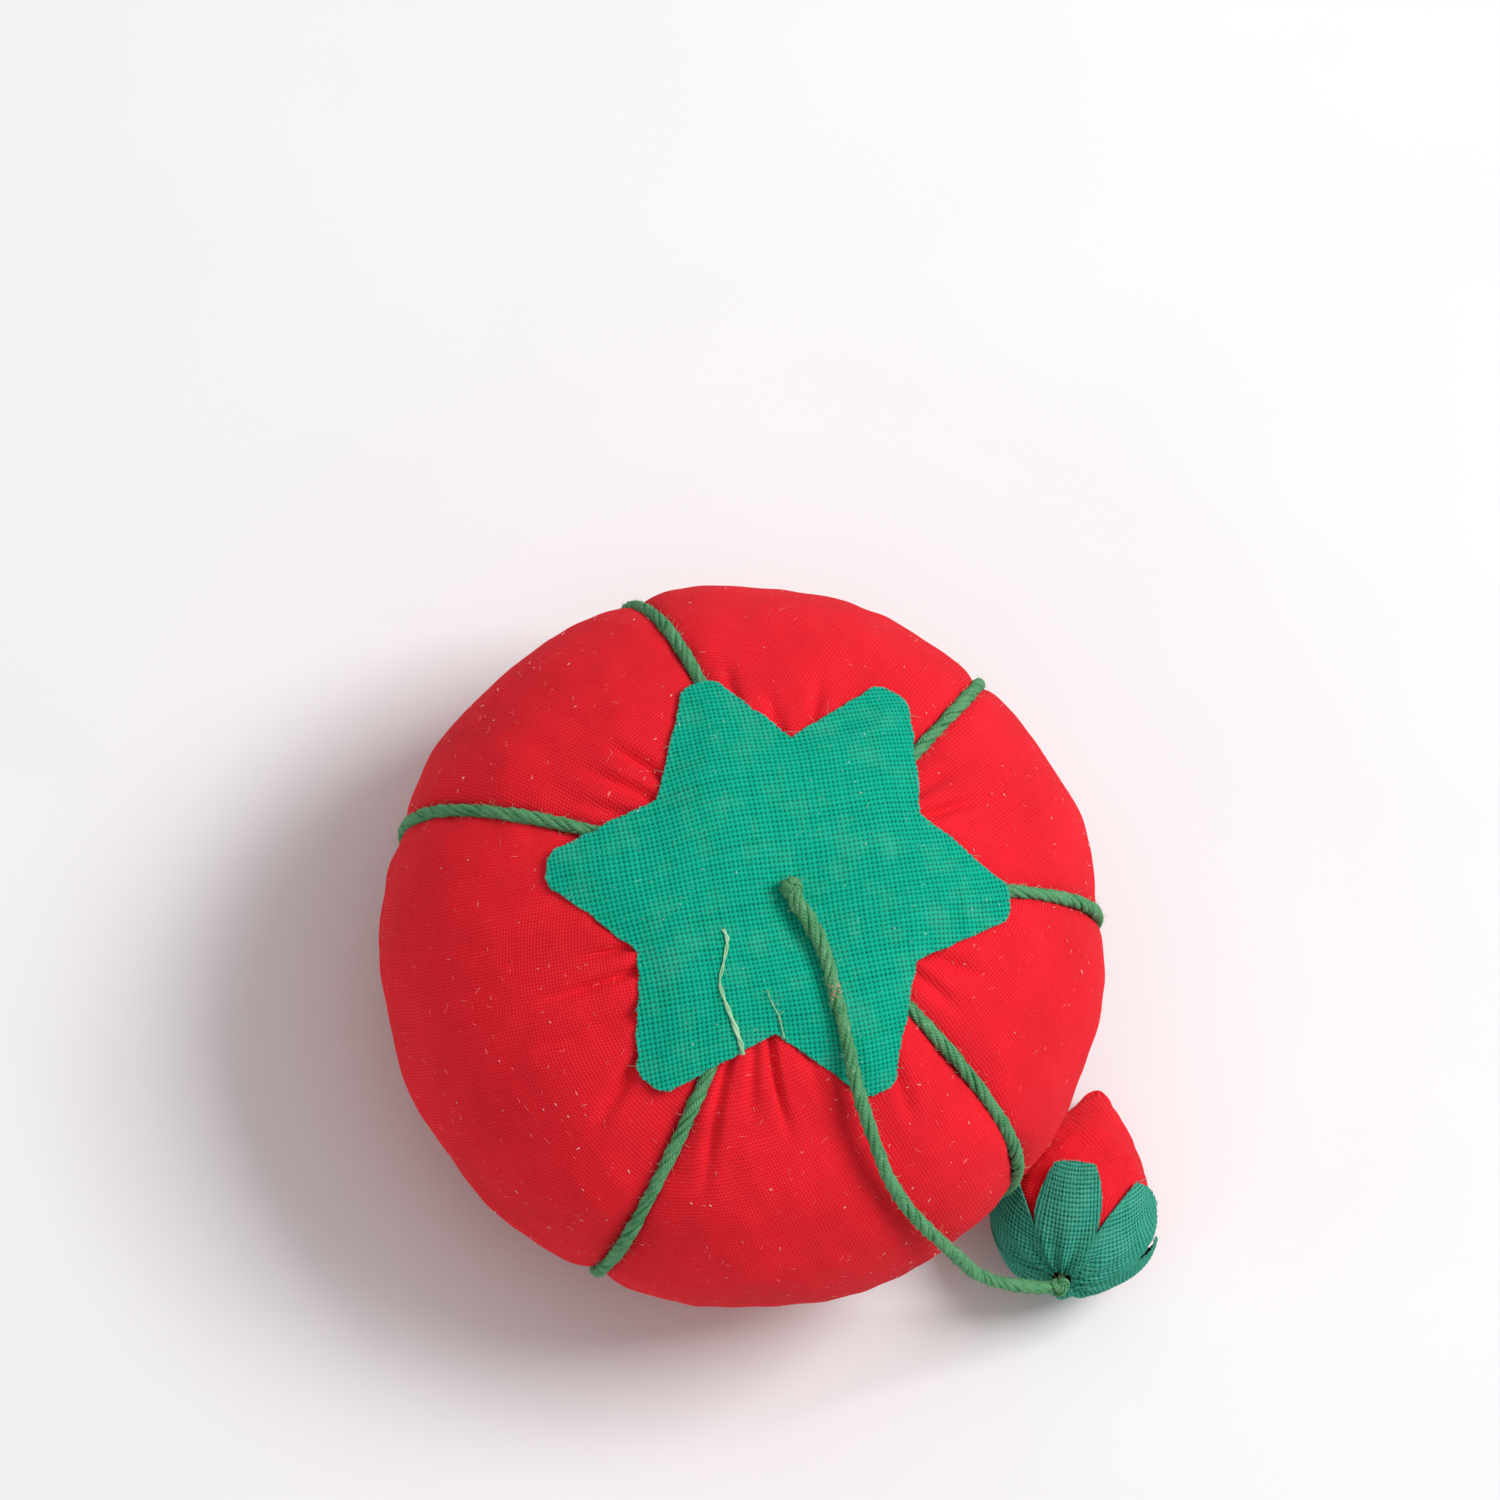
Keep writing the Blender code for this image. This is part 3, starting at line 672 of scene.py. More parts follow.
def crease_depth(azimuth, radius, creases):
    """How deep the creases are at each place, with a soft ridge beside each."""
    total = np.zeros(np.broadcast(azimuth, radius).shape)
    for start, near, end, far, depth, half_width in creases:
        share = (radius - near * MM) / ((far - near) * MM)
        line = radians(start) + np.clip(share, -0.6, 1.2) * radians(end - start)
        across = radius * wrapped(azimuth - line) / (half_width * MM)
        fade = smoothstep((1.0 - share) / 0.55) * smoothstep((radius - (near - 3.5) * MM) / (2.5 * MM))
        valley = np.exp(-np.abs(across) ** 1.6) - 0.30 * np.exp(-((across - 2.4) / 1.5) ** 2)
        valley -= 0.18 * np.exp(-((across + 2.3) / 1.4) ** 2)
        total += depth * MM * fade * valley
    return total


def random_creases(seed, count, near, far, depth):
    """Gathers spread round a pole, in the form of CREASES."""
    random = seeded(seed)
    found = []
    for i in range(count):
        azimuth = 360 * (i + random.uniform(-0.35, 0.35)) / count
        reach = random.uniform(*far)
        size = random.uniform(0.6, 1.2)
        end = azimuth + random.uniform(-5, 5)
        found.append((azimuth, near, end, reach, depth * size, random.uniform(0.32, 0.5)))
    return found


TOP_GATHERS = random_creases(3, 26, 5.5, (9.0, 13.5), 0.42)
BOTTOM_GATHERS = random_creases(4, 34, 5.0, (9.5, 15.5), 0.5)


def segment_columns(total):
    """Azimuths of the mesh's columns, with one on every cord, and each column's segment."""
    azimuths, segments = [], []
    for i, start in enumerate(SEGMENT_AZIMUTHS):
        width = (SEGMENT_AZIMUTHS[(i + 1) % len(SEGMENT_AZIMUTHS)] - start) % 360
        count = 2 * round(total * width / 720)
        azimuths += [radians(start + width * k / count) for k in range(count)]
        segments += [i] * count
    return np.array(azimuths), np.array(segments)


GRAIN = (12.0, -20.0, 8.0, -14.0, 22.0, -24.0)  # degrees that the weave of each segment is turned by
WEAVE_PITCH = 0.24 * MM


GROOVE_BELOW_THREAD = 0.47 * MM
GROOVE_HALF_WIDTH = 0.72 * MM
CORD_CLEARANCE = 0.2 * MM  # where creases begin beside a cord
CORD_FADE = 1.2 * MM


def cord_distance(azimuth, radius):
    """How far round the tomato the nearest cord is."""
    return np.min([np.abs(wrapped(azimuth - radians(a))) for a in SEGMENT_AZIMUTHS], axis=0) * radius


def clear_of_cords(values, from_cord):
    """The values, faded out beside the cords."""
    return values * smoothstep((from_cord - CORD_CLEARANCE) / CORD_FADE)


def tomato_depth(angle, azimuth, radius):
    """Depth of the cloth below the crest."""
    from_cord = cord_distance(azimuth, radius)
    groove = (thread_depth(angle) + GROOVE_BELOW_THREAD) / (1 + (from_cord / GROOVE_HALF_WIDTH) ** 1.3)
    sink = smoothstep((8.0 * MM - radius) / (4.7 * MM))
    deepest = thread_depth(angle) + 0.5 * MM
    depth = groove + (deepest - groove) * sink * 0.9
    upper = angle < pi / 2
    creases = crease_depth(azimuth, radius, TOP_GATHERS) * upper
    under = crease_depth(azimuth, radius, BOTTOM_GATHERS) * ~upper
    return depth + clear_of_cords(creases + under, from_cord)


def halfway(values, axis, closed):
    """A grid of values with a smooth one added between each two along an axis."""
    values = np.moveaxis(values, axis, 0)
    if closed:
        before, after, beyond = np.roll(values, 1, 0), np.roll(values, -1, 0), np.roll(values, -2, 0)
        here = values
    else:
        padded = np.concatenate([values[:1], values, values[-1:]])
        before, here, after, beyond = padded[:-3], padded[1:-2], padded[2:-1], padded[3:]
    between = (9 * (here + after) - before - beyond) / 16
    result = np.zeros((len(values) + len(between), *values.shape[1:]))
    result[0::2] = values
    result[1::2] = between
    return np.moveaxis(result, 0, axis)


SIMULATION_SCALE = 20.0  # the cloth solver is made for pieces of about a metre
SIMULATION_FRAMES = 22
SLACK = 0.13  # how much wider than the ball the gathered cloth is near the poles
OUTWARD_CAP = 0.16 * MM
INWARD_CAP = 0.75 * MM
HELD_STEPS = 4  # the cloth is held fully, not at all, or by one of the shares between


def settled(points, cut, held):
    """How a grid of cloth moves when pressed from inside. It is held where held is 1, and cut as cut says."""
    rows, columns, _ = points.shape
    mesh = bpy.data.meshes.new("settling")
    flat = points.reshape(-1, 3) * SIMULATION_SCALE
    mesh.from_pydata(flat.tolist(), [], grid_faces(rows, columns, True).tolist())
    item = placed("settling", mesh)
    item.shape_key_add(name="start")
    rest = item.shape_key_add(name="cut")
    rest.data.foreach_set("co", (cut.reshape(-1, 3) * SIMULATION_SCALE).ravel())
    group = item.vertex_groups.new(name="held")
    weights = held.ravel()
    for level in np.arange(1, HELD_STEPS + 1) / HELD_STEPS:
        chosen = np.nonzero(np.abs(weights - level) < 0.5 / HELD_STEPS)[0]
        group.add(chosen.tolist(), float(level), "REPLACE")
    modifier = item.modifiers.new("cloth", "CLOTH")
    modifier.collision_settings.use_collision = False
    modifier.point_cache.frame_start = 1
    modifier.point_cache.frame_end = SIMULATION_FRAMES
    cloth = modifier.settings
    cloth.quality = 6
    cloth.mass = 0.4
    cloth.air_damping = 3.0
    cloth.tension_stiffness = 18.0
    cloth.compression_stiffness = 18.0
    cloth.shear_stiffness = 6.0
    cloth.bending_stiffness = 0.08
    cloth.vertex_group_mass = "held"
    cloth.rest_shape_key = rest
    cloth.use_pressure = True
    cloth.uniform_pressure_force = 2.0
    cloth.effector_weights.gravity = 0.0
    scene = bpy.context.scene
    for number in range(1, SIMULATION_FRAMES + 1):
        scene.frame_set(number)
    result = np.zeros(rows * columns * 3)
    evaluated = item.evaluated_get(bpy.context.evaluated_depsgraph_get())
    evaluated.data.vertices.foreach_get("co", result)
    scene.frame_set(1)
    bpy.data.objects.remove(item)
    bpy.data.meshes.remove(mesh)
    return result.reshape(rows, columns, 3) / SIMULATION_SCALE - points


def stuffed(points, radius, height, from_cord):
    """The cover's points after the stuffing has pressed the slack cloth out between the cords."""
    coarse = points[::2, ::2]
    near_pole = smoothstep((19.0 * MM - radius[::2]) / (9.0 * MM))
    wider = 1 + SLACK * near_pole
    cut = coarse.copy()
    cut[..., 0] = AXIS_X + (coarse[..., 0] - AXIS_X) * wider
    cut[..., 1] = coarse[..., 1] * wider
    held = np.clip(1.4 - from_cord[::2, ::2] / (0.7 * MM), 0.0, 1.0)
    held = np.round(held * HELD_STEPS) / HELD_STEPS
    held[:3] = 1.0
    held[-3:] = 1.0
    held[np.broadcast_to(height[::2] < 0.1 * MM, held.shape)] = 1.0
    moved = settled(coarse, cut, held)
    outward = unit(coarse - np.array((AXIS_X, 0.0, TOMATO_HEIGHT * 0.45)))
    along = np.sum(moved * outward, -1, keepdims=True)
    sideways = moved - along * outward
    size = np.linalg.norm(sideways, axis=-1, keepdims=True)
    sideways *= np.minimum(1.0, INWARD_CAP / np.maximum(size, 1e-9))
    moved = sideways + outward * np.clip(along, -INWARD_CAP, OUTWARD_CAP)
    finer = halfway(halfway(moved, 0, False), 1, True)
    return points + finer[: points.shape[0], : points.shape[1]]


COVER_ROWS = 197
COVER_COLUMNS = 480
CREASE_STRENGTH = 1.3
RIDGE_CAP = 0.08 * MM  # how far a crease's ridge stands out, so that it stays under the star
LIPS = ((0.25, 0.35), (0.33, 0.9), (0.33, 1.7))  # rows into each pole's opening: inwards and down, in mm


def lumpy_depth(angles, azimuth, radius, height):
    """Depth of the cloth below the crest with its soft unevenness, and none that sinks into the table."""
    depth = tomato_depth(angles, azimuth, radius)
    spot = around_z(radius, azimuth, height)
    loose = smoothstep((radius - 5 * MM) / (8 * MM))
    unevenness = 0.10 * MM * lumps(spot, 9 * MM, 21) + 0.035 * MM * lumps(spot, 2.6 * MM, 22) + 0.06 * MM
    depth = depth + loose * unevenness
    low = smoothstep((1.2 * MM - height) / (1.2 * MM))
    return depth - low * np.minimum(depth, 0.0)


def with_lips(out, azimuth, up):
    """The cover's rows with three more at each pole, which turn down into the ball."""
    above = [(out[:1] - inward * MM, up[:1] - drop * MM) for inward, drop in reversed(LIPS)]
    below = [(out[-1:] - inward * MM, up[-1:] + drop * MM) for inward, drop in LIPS]
    out = np.concatenate([*[lip for lip, _ in above], out, *[lip for lip, _ in below]])
    up = np.concatenate([*[lip for _, lip in above], up, *[lip for _, lip in below]])
    azimuth = np.concatenate([azimuth[:1]] * len(LIPS) + [azimuth] + [azimuth[-1:]] * len(LIPS))
    return around_tomato(out, azimuth, np.maximum(up, 0.0))


def cover_cloth(faces, radius, arcs, azimuths, segments):
    """The weave's coordinates at the corners of the faces, each segment cut on its own grain."""
    columns = len(azimuths)
    segment = segments[np.arange(len(faces)) % columns]
    starts = np.array(SEGMENT_AZIMUTHS)[segment]
    widths = (np.roll(SEGMENT_AZIMUTHS, -1)[segment] - starts) % 360
    middle = np.radians(starts + widths / 2)
    drops = [drop * MM for _, drop in LIPS]
    above = [arcs[0] - drop for drop in reversed(drops)]
    below = [arcs[-1] + drop for drop in drops]
    arcs = np.array([*above, *arcs, *below])
    radius = np.concatenate([np.repeat(radius[:1], len(LIPS)), radius, np.repeat(radius[-1:], len(LIPS))])
    corner_row, corner_column = faces // columns, faces % columns
    across = radius[corner_row] * wrapped(azimuths[corner_column] - middle[:, None])
    down = arcs[corner_row] - arcs.mean()
    grain = np.radians(GRAIN)[segment][:, None]
    warp = (across * np.cos(grain) - down * np.sin(grain)) / WEAVE_PITCH + 400.0 * segment[:, None]
    weft = (across * np.sin(grain) + down * np.cos(grain)) / WEAVE_PITCH + 3.0 * segment[:, None]
    return np.stack([warp, weft], -1)


def tomato_cover():
    azimuths, segments = segment_columns(COVER_COLUMNS)
    first = np.interp(POLE_OPENING, profile_radius[TOP_HALF], PROFILE_ANGLES[TOP_HALF])
    ends = np.interp([first, pi - first], PROFILE_ANGLES, profile_arc)
    arcs = np.linspace(ends[0], ends[1], COVER_ROWS)
    angles = np.interp(arcs, profile_arc, PROFILE_ANGLES)[:, None]
    radius, height, outward = crest(angles)
    azimuth = azimuths[None, :]
    depth = lumpy_depth(angles, azimuth, radius, height)
    place_out = radius - outward[..., 0] * depth
    place_up = height - outward[..., 1] * depth
    body = around_tomato(place_out, azimuth, place_up)
    body = stuffed(body, radius, height, cord_distance(azimuth, radius))
    place_out = np.hypot(body[..., 0] - AXIS_X, body[..., 1])
    azimuth = np.arctan2(body[..., 1], body[..., 0] - AXIS_X)
    place_up = body[..., 2]
    azimuth = np.broadcast_to(azimuth, place_out.shape)
    sharp = crease_depth(azimuth, place_out, CREASES) * (angles < pi / 2) * CREASE_STRENGTH
    sharp = clear_of_cords(np.maximum(sharp, -RIDGE_CAP), cord_distance(azimuth, place_out))
    points = with_lips(place_out - outward[..., 0] * sharp, azimuth, place_up - outward[..., 1] * sharp)
    faces = grid_faces(len(points), len(azimuths), True)
    shape = Shape()
    shape.add(points, faces, cover_cloth(faces, radius[:, 0], arcs, azimuths, segments))
    cover = shape.piece("tomato_cloth", [tomato_cotton], "tomato", "tomato_cotton", "tomato_cover")
    return cover


tomato = tomato_cover()


# The thread's way from the outside into a pole: distance from the axis, and depth below its last place, in mm
POLE_TURN = ((1.85, 2.4), (1.85, 1.7), (1.87, 1.1), (2.1, 0.45), (2.55, 0.12))
PASS_DIAMETER = CORD_DIAMETER * 0.98  # pulled tight


def segment_pass(number, azimuth):
    """The thread's pass over the outside, in its groove and into the ball at both poles."""
    angles = np.interp(np.linspace(0.035, 0.965, 90) * profile_arc[-1], profile_arc, PROFILE_ANGLES)
    radius, height, outward = crest(angles)
    place = np.stack([radius, height], -1) - outward * thread_depth(angles)[:, None]
    place = place[place[:, 0] > 3.1 * MM]
    top = [(out * MM, place[0][1] - drop * MM) for out, drop in POLE_TURN]
    bottom = [(out * MM, place[-1][1] + drop * MM) for out, drop in reversed(POLE_TURN)]
    section = np.array([*top, *place, *bottom])
    wander = 0.006 * np.sin(np.linspace(0, 9, len(section)) + number)
    sway = azimuth + wander * smoothstep(section[:, 0] / (8 * MM))
    shape = Shape()
    path = around_tomato(section[:, 0], sway, section[:, 1])
    add_cord(shape, path, PASS_DIAMETER, 30 + number)
    node = f"segment_cord_{number}"
    shape.piece(f"cord_pass_{number}", [green_cord, green_fuzz], "tomato", "green_cord", node)


for number, azimuth in enumerate(SEGMENT_AZIMUTHS, start=1):
    segment_pass(number, radians(azimuth))


# Knots


def tied_knot(name, centre, size, strand, body, node, seed, tails=()):
    """A small overhand knot of the cord: a trefoil wound into a ball."""
    t = np.linspace(0, tau, 90)
    trefoil = np.stack(
        [np.sin(t) + 2 * np.sin(2 * t), np.cos(t) - 2 * np.cos(2 * t), -1.35 * np.sin(3 * t)], -1
    ) / 3.0
    shape = Shape()
    wound = np.array(centre) + trefoil * (size - strand / 2)
    add_cord(shape, wound, strand, seed, hairs_per_mm=5.0, step=0.09 * MM)
    for i, tail in enumerate(tails):
        add_cord(shape, smooth_route(tail, 8), strand, seed + 3 + i, hairs_per_mm=4.0, step=0.09 * MM)
    shape.piece(name, [green_cord, green_fuzz], body, "green_cord", node)


STUB_DIAMETER = 1.5 * MM
STUB_END_RADIUS = 0.8 * MM
STUB_LEVELS = (-3.2, -2.4, -1.6, -0.9, -0.3, 0.3, 0.72)  # mm above the pivot


def stub_swell(along):
    """A stem that swells into a round end."""
    left = np.maximum(along[-1] - along, 0.0)
    end = np.sqrt(np.clip(1 - (1 - left / STUB_END_RADIUS) ** 2, 0.02, 1))
    bulb = np.where(left < STUB_END_RADIUS, end, 1.0)
    return bulb * (0.88 + 0.17 * np.exp(-((left - STUB_END_RADIUS) / (0.7 * MM)) ** 2))


def make_stub():
    """The tether's doubled end, which stands out of the star's middle."""
    pivot = TETHER_PIVOT
    rise = smooth_route([(pivot.x, 0.0, pivot.z + level * MM) for level in STUB_LEVELS], 6)
    folded = {"strands": 7, "lay": 5.0 * MM, "hairs_per_mm": 22.0, "step": 0.08 * MM}
    shape = Shape()
    add_cord(shape, rise, STUB_DIAMETER, 51, swell=stub_swell, **folded)
    shape.piece("tether_stub", [green_cord, green_fuzz], "anchor", "green_cord", "tether_anchor")


def make_neck_knot():
    stem = [NECK + TOWARDS_TIP * depth * MM for depth in (-0.2, 0.5, 1.1, 1.7)]
    tied_knot("neck_knot", NECK, 0.8 * MM, 0.6 * MM, "neck", "strawberry_knot", 57, [stem])


# The end knot's two loose tails, in mm from its middle on the floor
END_TAILS = (
    ((0.3, 0.2, 1.7), (1.2, 0.7, 1.2), (2.3, 1.6, 1.0), (3.0, 2.8, 0.8)),
    ((-0.3, 0.1, 1.7), (-1.2, 0.9, 1.1), (-2.0, 2.1, 0.9)),
)


def make_end_knot():
    low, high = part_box("bottom_knot")
    middle = ((low + high) / 2).x
    tails = [[(middle + x * MM, y * MM, z * MM) for x, y, z in tail] for tail in END_TAILS]
    tied_knot("end_knot", (middle, 0.0, 1.5 * MM), 1.0 * MM, 0.7 * MM, "tomato", "bottom_knot", 63, tails)


make_stub()
make_neck_knot()
make_end_knot()


# The star: an open-weave cotton, cut with scissors, whose threads are in the mesh

STAR_TIPS = ((0.8, 16.2), (61.0, 17.4), (110.2, 16.4), (173.2, 16.6), (234.0, 16.3), (296.0, 15.1))
STAR_VALLEYS = ((31.8, 11.4), (86.8, 11.3), (143.8, 11.2), (202.0, 11.4), (264.0, 10.0), (333.0, 10.2))
STAR_TIP_SHAPE = ((-1.75, -1.0), (-1.45, -0.35), (-0.7, 0.05), (0.7, 0.05), (1.45, -0.35), (1.75, -1.0))
STAR_PITCH = 0.335 * MM
STAR_GRAIN = radians(10.0)
SAMPLES_PER_THREAD = 4
THREAD_RELIEF = 0.075 * MM
CLOTH_THICKNESS = 0.16 * MM
RELIEF_MIDDLE = 0.6  # the relief that lies on a cloth's middle surface
STAR_EDGE_LIFT = 0.24  # mm above the crest
STAR_HOLE = 0.45 * MM  # radius of the hole for the stub


def weave_height(x, y, seed):
    """Relief of a plain weave with open holes, from 0 in a hole to 1 on top of a crossing, by thread."""
    random = seeded(seed)
    widths = random.uniform(0.34, 0.38, (2, 512))
    shifts = random.normal(size=(2, 512)) * 0.02
    best = np.zeros(x.shape)
    for side, (own, other, way) in enumerate(((x, y, 1), (y, x, -1))):
        number = np.round(own).astype(int)
        off = own - number - shifts[side][number % 512]
        uneven = np.sin(0.83 * other + 2.4 * number) + np.sin(0.31 * other + 5.1 * number)
        half = widths[side][number % 512] * (1 + 0.07 * uneven)
        body = np.sqrt(np.clip(1 - (off / half) ** 2, 0, 1))
        lift = way * np.where(number % 2 == 0, 1, -1) * np.cos(pi * other)
        best = np.maximum(best, np.where(np.abs(off) < half, 0.34 + 0.33 * body + 0.33 * lift * body, 0))
    return best


def flat_direction(azimuth):
    return np.array((cos(radians(azimuth)), sin(radians(azimuth))))


def star_outline():
    """The star's cut edge in the flat, as arc distance from the tomato's axis."""
    points = []
    for (tip_azimuth, tip), (valley_azimuth, valley) in zip(STAR_TIPS, STAR_VALLEYS):
        towards = flat_direction(tip_azimuth)
        across = np.array((-towards[1], towards[0]))
        far = arc_of_radius(tip * MM)
        points += [towards * (far + back * MM) + across * side * MM for side, back in STAR_TIP_SHAPE]
        points.append(flat_direction(valley_azimuth) * arc_of_radius(valley * MM))
    ring = np.array(points)
    finer = []
    random = seeded(5)
    for start, end in zip(ring, np.roll(ring, -1, 0)):
        steps = max(int(np.linalg.norm(end - start) / (0.8 * MM)), 1)
        normal = unit(np.array((end[1] - start[1], start[0] - end[0])))
        for k in range(steps):
            wobble = 0.0 if k == 0 else random.normal() * 0.07 * MM
            finer.append(start + (end - start) * k / steps + normal * wobble)
    return np.array(finer)


STAR_OUTLINE = star_outline()


def inside_and_distance(points, outline):
    """Whether flat points are inside the outline, and how far they are from it."""
    inside = np.zeros(len(points), bool)
    nearest = np.full(len(points), np.inf)
    for (x0, y0), (x1, y1) in zip(outline, np.roll(outline, -1, 0)):
        crosses = (y0 > points[:, 1]) != (y1 > points[:, 1])
        if y1 != y0:
            inside ^= crosses & (points[:, 0] < (x1 - x0) * (points[:, 1] - y0) / (y1 - y0) + x0)
        edge = np.array((x1 - x0, y1 - y0))
        share = np.clip(((points - (x0, y0)) @ edge) / (edge @ edge), 0, 1)
        nearest = np.minimum(nearest, np.linalg.norm(points - (x0, y0) - share[:, None] * edge, axis=1))
    return inside, nearest


def on_the_tomato(flat, above):
    """Places of flat points laid on the crest, a height above it."""
    arc = np.linalg.norm(flat, axis=-1)
    radius = radius_of_arc(arc)
    height, outward = crest_place(radius)
    around = np.arctan2(flat[..., 1], flat[..., 0])
    out = radius + outward[..., 0] * above
    up = height + outward[..., 1] * above
    return around_tomato(out, around, up)


def star_lift(flat, from_edge):
    """How far the star's middle surface lies above the crest: low at its edge, full inside."""
    arc = np.linalg.norm(flat, axis=-1)
    around = np.arctan2(flat[..., 1], flat[..., 0])
    body = STAR_EDGE_LIFT * MM + 0.42 * MM * smoothstep(from_edge / (3.2 * MM))
    waves = 0.07 * MM * lumps(with_zero(flat), 7 * MM, 41) * smoothstep(from_edge / (1.5 * MM))
    puckers = 0.10 * MM * np.cos(7 * around + 0.8 * np.sin(2 * around)) * np.exp(-(arc / (2.6 * MM)) ** 2)
    dimple = 0.26 * MM * np.exp(-(arc / (3.6 * MM)) ** 2)
    return body + waves + puckers - dimple


def make_star():
    step = STAR_PITCH / SAMPLES_PER_THREAD
    half = int(19 * MM / step)
    index = np.arange(-half, half + 1)
    x, y = np.meshgrid(index, index, indexing="ij")
    grain = np.array(((cos(STAR_GRAIN), -sin(STAR_GRAIN)), (sin(STAR_GRAIN), cos(STAR_GRAIN))))
    threads = np.stack([x.ravel(), y.ravel(), np.zeros(x.size)], -1) / SAMPLES_PER_THREAD
    drift = np.stack([lumps(threads, 34.0, 43), lumps(threads, 30.0, 44)], -1) * 0.4 * STAR_PITCH
    flat = (np.stack([x.ravel(), y.ravel()], -1) * step + drift) @ grain.T
    side = len(index)
    faces = grid_faces(side, side, False)
    centres = flat[faces].mean(1)
    inside, _ = inside_and_distance(centres, STAR_OUTLINE)
    kept = faces[inside & (np.linalg.norm(centres, axis=1) > STAR_HOLE)]
    used = np.unique(kept)
    renumber = np.zeros(side * side, int)
    renumber[used] = np.arange(len(used))
    kept = renumber[kept]
    flat = flat[used]
    threads = threads[used, :2]
    relief = weave_height(threads[:, 0], threads[:, 1], 45)
    _, from_edge = inside_and_distance(flat, STAR_OUTLINE)
    above = star_lift(flat, from_edge) + (relief - RELIEF_MIDDLE) * 2 * THREAD_RELIEF
    points = on_the_tomato(flat, above)
    shape = Shape()
    shape.add(points, kept, threads, relief)
    add_rim(shape, points, kept, on_the_tomato(flat, above - CLOTH_THICKNESS), threads)
    add_fray(shape)
    star = shape.piece("star", [star_cotton, cut_ends], "tomato", "star_cotton", "calyx")
    return star


def add_rim(shape, points, faces, lower, cloth):
    """The cut thickness of a sheet: a strip down from each edge that only one face has."""
    edges = np.concatenate([faces[:, [0, 1]], faces[:, [1, 2]], faces[:, [2, 3]], faces[:, [3, 0]]])
    ordered = np.sort(edges, 1)
    _, first, uses = np.unique(ordered, axis=0, return_index=True, return_counts=True)
    rim = edges[first[uses == 1]]
    used, place = np.unique(rim, return_inverse=True)
    place = place.reshape(rim.shape)
    strip = np.concatenate([points[used], lower[used]])
    quads = np.stack([place[:, 1], place[:, 0], place[:, 0] + len(used), place[:, 1] + len(used)], -1)
    shape.add(strip, quads, np.concatenate([cloth[used], cloth[used]]), np.full(len(strip), 0.75))


def add_fray(shape):
    """Thread ends that stand out of the cut edge, and a few loose hairs."""
    random = seeded(61)
    grain = np.array(((cos(STAR_GRAIN), sin(STAR_GRAIN)), (-sin(STAR_GRAIN), cos(STAR_GRAIN))))
    for start, end in zip(STAR_OUTLINE, np.roll(STAR_OUTLINE, -1, 0)):
        along = end - start
        normal = unit(np.array((along[1], -along[0])))
        normal = normal if normal @ (start + end) > 0 else -normal
        facing = grain @ normal
        family = int(np.argmax(np.abs(facing)))
        way = grain[family] * np.sign(facing[family])
        count = max(int(np.linalg.norm(along) / STAR_PITCH), 1)
        for k in range(count):
            root = start + along * (k + random.uniform(0.1, 0.9)) / count
            long = random.random() < 0.03
            length = (random.uniform(0.4, 1.1) if long else random.uniform(0.02, 0.11)) * MM
            lean = unit(way + random.normal(size=2) * (0.5 if long else 0.18))
            steps = np.linspace(-0.25 * MM, length, 4)
            line = root + lean * steps[:, None]
            rise = random.uniform(0.1, 0.4) if long else 0.02
            above = np.linspace(STAR_EDGE_LIFT, STAR_EDGE_LIFT + rise, 4) * MM
            radius = 0.02 * MM if long else 0.062 * MM
            add_tube(shape, on_the_tomato(line, above), np.linspace(1.0, 0.45, 4) * radius, 4, 1)


star = make_star()


# A loose pale thread lying on the star and over its edge, and lint


def loose_thread(name, route, radius, seed):
    """A frayed thread of two strands, laid along flat places (mm from the tomato's axis)."""
    flat = smooth_route([(x * MM, y * MM, 0.0) for x, y in route], 8)[:, :2]
    radii = np.linalg.norm(flat, axis=1)
    flat = flat / radii[:, None] * arc_of_radius(radii)[:, None]
    inside, from_edge = inside_and_distance(flat, STAR_OUTLINE)
    above = np.where(inside, star_lift(flat, from_edge) + 0.16 * MM, 0.3 * MM)
    line = on_the_tomato(flat, above)
    shape = Shape()
    random = seeded(seed)
    steps = len(line)
    for strand in range(2):
        turn = np.linspace(0, 4 * tau, steps) + strand * pi
        off = np.stack([np.cos(turn), np.sin(turn), 0.4 * np.cos(turn)], -1) * radius * 0.45
        size = radius * (0.62 + 0.25 * np.sin(np.linspace(0, 7, steps) + seed))
        add_tube(shape, line + off, size * np.minimum(1.0, np.linspace(0.35, 6.0, steps)), 6)
    count = 30
    at = random.integers(1, steps - 1, count)
    away = unit(random.normal(size=(count, 3)) + (0, 0, 0.4))
    add_hairs(shape, line[at], away, random.uniform(0.2, 0.6, count) * MM, 0.012 * MM, 0, seed)
    shape.piece(name, [pale_thread], "tomato", "star_cotton")


WISP_ROUTE = (
    (-4.76, -2.85), (-4.50, -3.4), (-4.52, -4.1), (-4.78, -5.4), (-5.0, -6.5), (-4.72, -7.6),
    (-4.32, -8.6), (-3.80, -9.8), (-3.45, -10.7), (-3.3, -11.4),
)
FAINT_WISP_ROUTE = ((-1.75, -7.0), (-1.45, -7.8), (-0.85, -8.8), (-0.62, -9.6), (-0.41, -10.3))
loose_thread("loose_thread", WISP_ROUTE, 0.15 * MM, 71)
loose_thread("faint_thread", FAINT_WISP_ROUTE, 0.05 * MM, 72)


